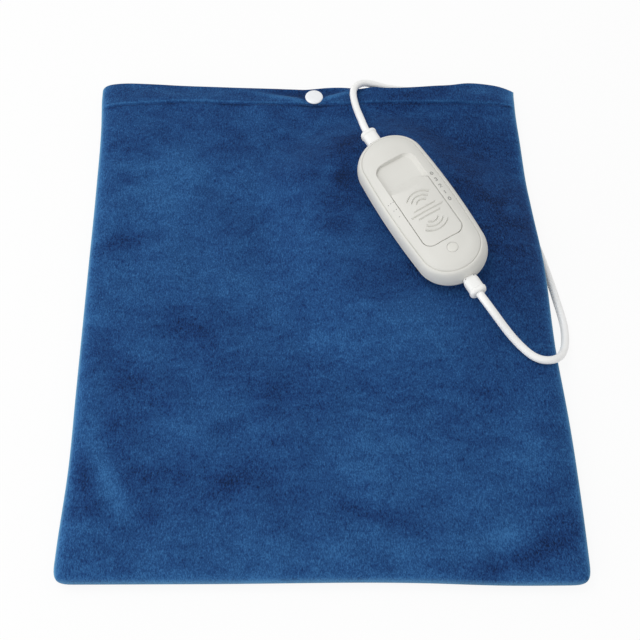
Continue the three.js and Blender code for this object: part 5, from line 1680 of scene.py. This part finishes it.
def build_floor():
    """A pale paper floor that shows white to the camera and still takes the object's shadow."""
    size = 3.0
    low = -0.0004
    mesh = bpy.data.meshes.new("floor")
    corners = [(-size, -size, low), (size, -size, low), (size, size, low), (-size, size, low)]
    mesh.from_pydata(corners, [], [(0, 1, 2, 3)])
    floor = bpy.data.objects.new("floor", mesh)
    bpy.context.scene.collection.objects.link(floor)
    material = bpy.data.materials.new("paper_sweep_white")
    material.use_nodes = True
    tree = material.node_tree
    tree.nodes.clear()
    paper = add_node(tree, "ShaderNodeBsdfDiffuse", Color=(0.86, 0.86, 0.86, 1)).outputs["BSDF"]
    glow = add_node(tree, "ShaderNodeEmission", Color=(1, 1, 1, 1), Strength=1.0).outputs["Emission"]
    seen = seen_by(tree, "Is Camera Ray", "Is Glossy Ray", "Is Transmission Ray")
    share = add_node(tree, "ShaderNodeMath", {"operation": "MULTIPLY"}, in0=seen, in1=0.9)
    both = add_node(tree, "ShaderNodeMixShader", in0=share.outputs["Value"], in1=paper, in2=glow)
    add_node(tree, "ShaderNodeOutputMaterial", Surface=both.outputs["Shader"])
    mesh.materials.append(material)


def build_world(strength):
    """Even white light from all round, and a white background behind the floor."""
    world = bpy.data.worlds.new("studio_world")
    bpy.context.scene.world = world
    world.use_nodes = True
    tree = world.node_tree
    tree.nodes.clear()
    seen = seen_by(tree, "Is Camera Ray", "Is Transmission Ray")
    light = add_node(tree, "ShaderNodeMapRange", Value=seen, To_Min=strength, To_Max=1.0)
    sky = add_node(tree, "ShaderNodeBackground", Color=(1, 1, 1, 1), Strength=light.outputs["Result"])
    add_node(tree, "ShaderNodeOutputWorld", Surface=sky.outputs["Background"])


def build_lights(colours):
    """Two square softboxes that look at the pad from its left."""
    width = 0.9
    lamps = (
        ("softbox_left", (-0.75, 0.4, 1.5), colours.key_light),
        ("softbox_front", (-1.1, -0.95, 0.4), colours.fill_light),
    )
    for name, place, power in lamps:
        data = bpy.data.lights.new(name, "AREA")
        data.shape = "SQUARE"
        data.size = width
        data.energy = power
        light = bpy.data.objects.new(name, data)
        bpy.context.scene.collection.objects.link(light)
        aim = Vector((0, 0, 0.02)) - Vector(place)
        light.matrix_world = Matrix.Translation(place) @ aim.to_track_quat("-Z", "Y").to_matrix().to_4x4()


# Properties, operators and panel


class CoverSizes(PropertyGroup):
    """Sizes of the plush cover."""

    cell: FloatProperty(
        name="Cloth cell",
        description="Spacing of the cloth's points",
        default=0.0024,
        unit="LENGTH",
    )
    stitch: FloatProperty(
        name="Stitch",
        description="Length of one topstitch",
        default=0.0031,
        unit="LENGTH",
    )


class CordSizes(PropertyGroup):
    """Sizes of the cords."""

    diameter: FloatProperty(
        name="Diameter",
        description="Outside of the cord's jacket",
        default=0.0054,
        unit="LENGTH",
    )


class MarkSizes(PropertyGroup):
    """Sizes of the controller's marks."""

    figure: FloatProperty(
        name="Figure",
        description="Height of a printed figure",
        default=0.0029,
        unit="LENGTH",
    )


class CameraSizes(PropertyGroup):
    """Where the camera stands."""

    pitch: FloatProperty(
        name="Pitch",
        description="Height of the view",
        default=math.radians(59.0),
        unit="ROTATION",
    )
    yaw: FloatProperty(
        name="Yaw",
        description="Turn of the view",
        default=math.radians(-2.5),
        unit="ROTATION",
    )
    roll: FloatProperty(
        name="Roll",
        description="Tilt of the picture",
        default=math.radians(1.8),
        unit="ROTATION",
    )
    distance: FloatProperty(
        name="Distance",
        description="From the camera to its aim",
        default=0.76311,
        unit="LENGTH",
    )
    target: FloatVectorProperty(
        name="Aim",
        description="Point on the floor that it looks at",
        default=(0.002503, -0.011511, 0.0),
        unit="LENGTH",
    )


class StageColours(PropertyGroup):
    """Light on the object."""

    world_light: FloatProperty(
        name="Room light",
        description="Strength of the light from all round",
        default=0.68,
    )
    key_light: FloatProperty(
        name="Left light",
        description="Power of the softbox over the left side",
        default=8.5,
        unit="POWER",
    )
    fill_light: FloatProperty(
        name="Front light",
        description="Power of the low softbox in front",
        default=8.0,
        unit="POWER",
    )


class HEATINGPAD_OT_materials(Operator):
    """Make the materials"""

    bl_idname = "heatingpad.materials"
    bl_label = "Materials"

    def execute(self, context):
        build_materials()
        return {"FINISHED"}


class HEATINGPAD_OT_camera(Operator):
    """Place the camera"""

    bl_idname = "heatingpad.camera"
    bl_label = "Camera"

    def execute(self, context):
        place_camera(context.scene.heating_pad_camera)
        return {"FINISHED"}


class HEATINGPAD_OT_cords(Operator):
    """Lay the pad lead, the mains cord and its coil"""

    bl_idname = "heatingpad.cords"
    bl_label = "Cords"

    def execute(self, context):
        build_cords(context.scene.heating_pad_cords)
        return {"FINISHED"}


class HEATINGPAD_OT_inner_pad(Operator):
    """Build the wired pad inside the cover"""

    bl_idname = "heatingpad.inner_pad"
    bl_label = "Inner pad"

    def execute(self, context):
        build_inner_pad()
        return {"FINISHED"}


class HEATINGPAD_OT_cover(Operator):
    """Build the plush cover, its hems and topstitching"""

    bl_idname = "heatingpad.cover"
    bl_label = "Cover"

    def execute(self, context):
        build_cover(context.scene.heating_pad_cover)
        return {"FINISHED"}


class HEATINGPAD_OT_snap(Operator):
    """Build the snap fastener"""

    bl_idname = "heatingpad.snap"
    bl_label = "Snap"

    def execute(self, context):
        build_snap()
        return {"FINISHED"}


class HEATINGPAD_OT_housing(Operator):
    """Build the controller's shells, marks, lamp and strain reliefs"""

    bl_idname = "heatingpad.housing"
    bl_label = "Controller housing"

    def execute(self, context):
        build_lower_shell()
        build_upper_shell()
        build_marks(context.scene.heating_pad_marks)
        build_lamp()
        build_reliefs()
        build_electronics()
        return {"FINISHED"}


class HEATINGPAD_OT_slider(Operator):
    """Build the sliding switch"""

    bl_idname = "heatingpad.slider"
    bl_label = "Slider"

    def execute(self, context):
        build_knob()
        return {"FINISHED"}


class HEATINGPAD_OT_stage(Operator):
    """Set the floor and the lights"""

    bl_idname = "heatingpad.stage"
    bl_label = "Stage"

    def execute(self, context):
        colours = context.scene.heating_pad_colours
        build_floor()
        build_world(colours.world_light)
        build_lights(colours)
        return {"FINISHED"}


OPERATORS = (
    HEATINGPAD_OT_materials,
    HEATINGPAD_OT_camera,
    HEATINGPAD_OT_cords,
    HEATINGPAD_OT_inner_pad,
    HEATINGPAD_OT_cover,
    HEATINGPAD_OT_snap,
    HEATINGPAD_OT_housing,
    HEATINGPAD_OT_slider,
    HEATINGPAD_OT_stage,
)
GROUPS = (
    ("heating_pad_cover", CoverSizes),
    ("heating_pad_cords", CordSizes),
    ("heating_pad_marks", MarkSizes),
    ("heating_pad_camera", CameraSizes),
    ("heating_pad_colours", StageColours),
)


class HEATINGPAD_PT_panel(Panel):
    """Lists the pieces of the heating pad and the sizes that they take"""

    bl_idname = "HEATINGPAD_PT_panel"
    bl_label = "Heating Pad"
    bl_space_type = "VIEW_3D"
    bl_region_type = "UI"
    bl_category = "Heating Pad"

    def draw(self, context):
        layout = self.layout
        for name, group in GROUPS:
            box = layout.box()
            settings = getattr(context.scene, name)
            for key in group.__annotations__:
                box.prop(settings, key)
        column = layout.column()
        for operator in OPERATORS:
            column.operator(operator.bl_idname)


def register():
    """Registers the sizes, the steps and the panel."""
    for _, group in GROUPS:
        bpy.utils.register_class(group)
    for operator in OPERATORS:
        bpy.utils.register_class(operator)
    bpy.utils.register_class(HEATINGPAD_PT_panel)
    for name, group in GROUPS:
        setattr(bpy.types.Scene, name, PointerProperty(type=group))


def unregister():
    """Takes them out again, in the other order."""
    for name, _ in GROUPS:
        delattr(bpy.types.Scene, name)
    bpy.utils.unregister_class(HEATINGPAD_PT_panel)
    for operator in reversed(OPERATORS):
        bpy.utils.unregister_class(operator)
    for _, group in reversed(GROUPS):
        bpy.utils.unregister_class(group)


def main():
    """Runs each step."""
    register()
    bpy.context.scene.view_settings.view_transform = "Standard"
    bpy.ops.heatingpad.materials()
    bpy.ops.heatingpad.camera()
    bpy.ops.heatingpad.cords()
    bpy.ops.heatingpad.inner_pad()
    bpy.ops.heatingpad.cover()
    bpy.ops.heatingpad.snap()
    bpy.ops.heatingpad.housing()
    bpy.ops.heatingpad.slider()
    bpy.ops.heatingpad.stage()


if __name__ == "__main__":
    main()
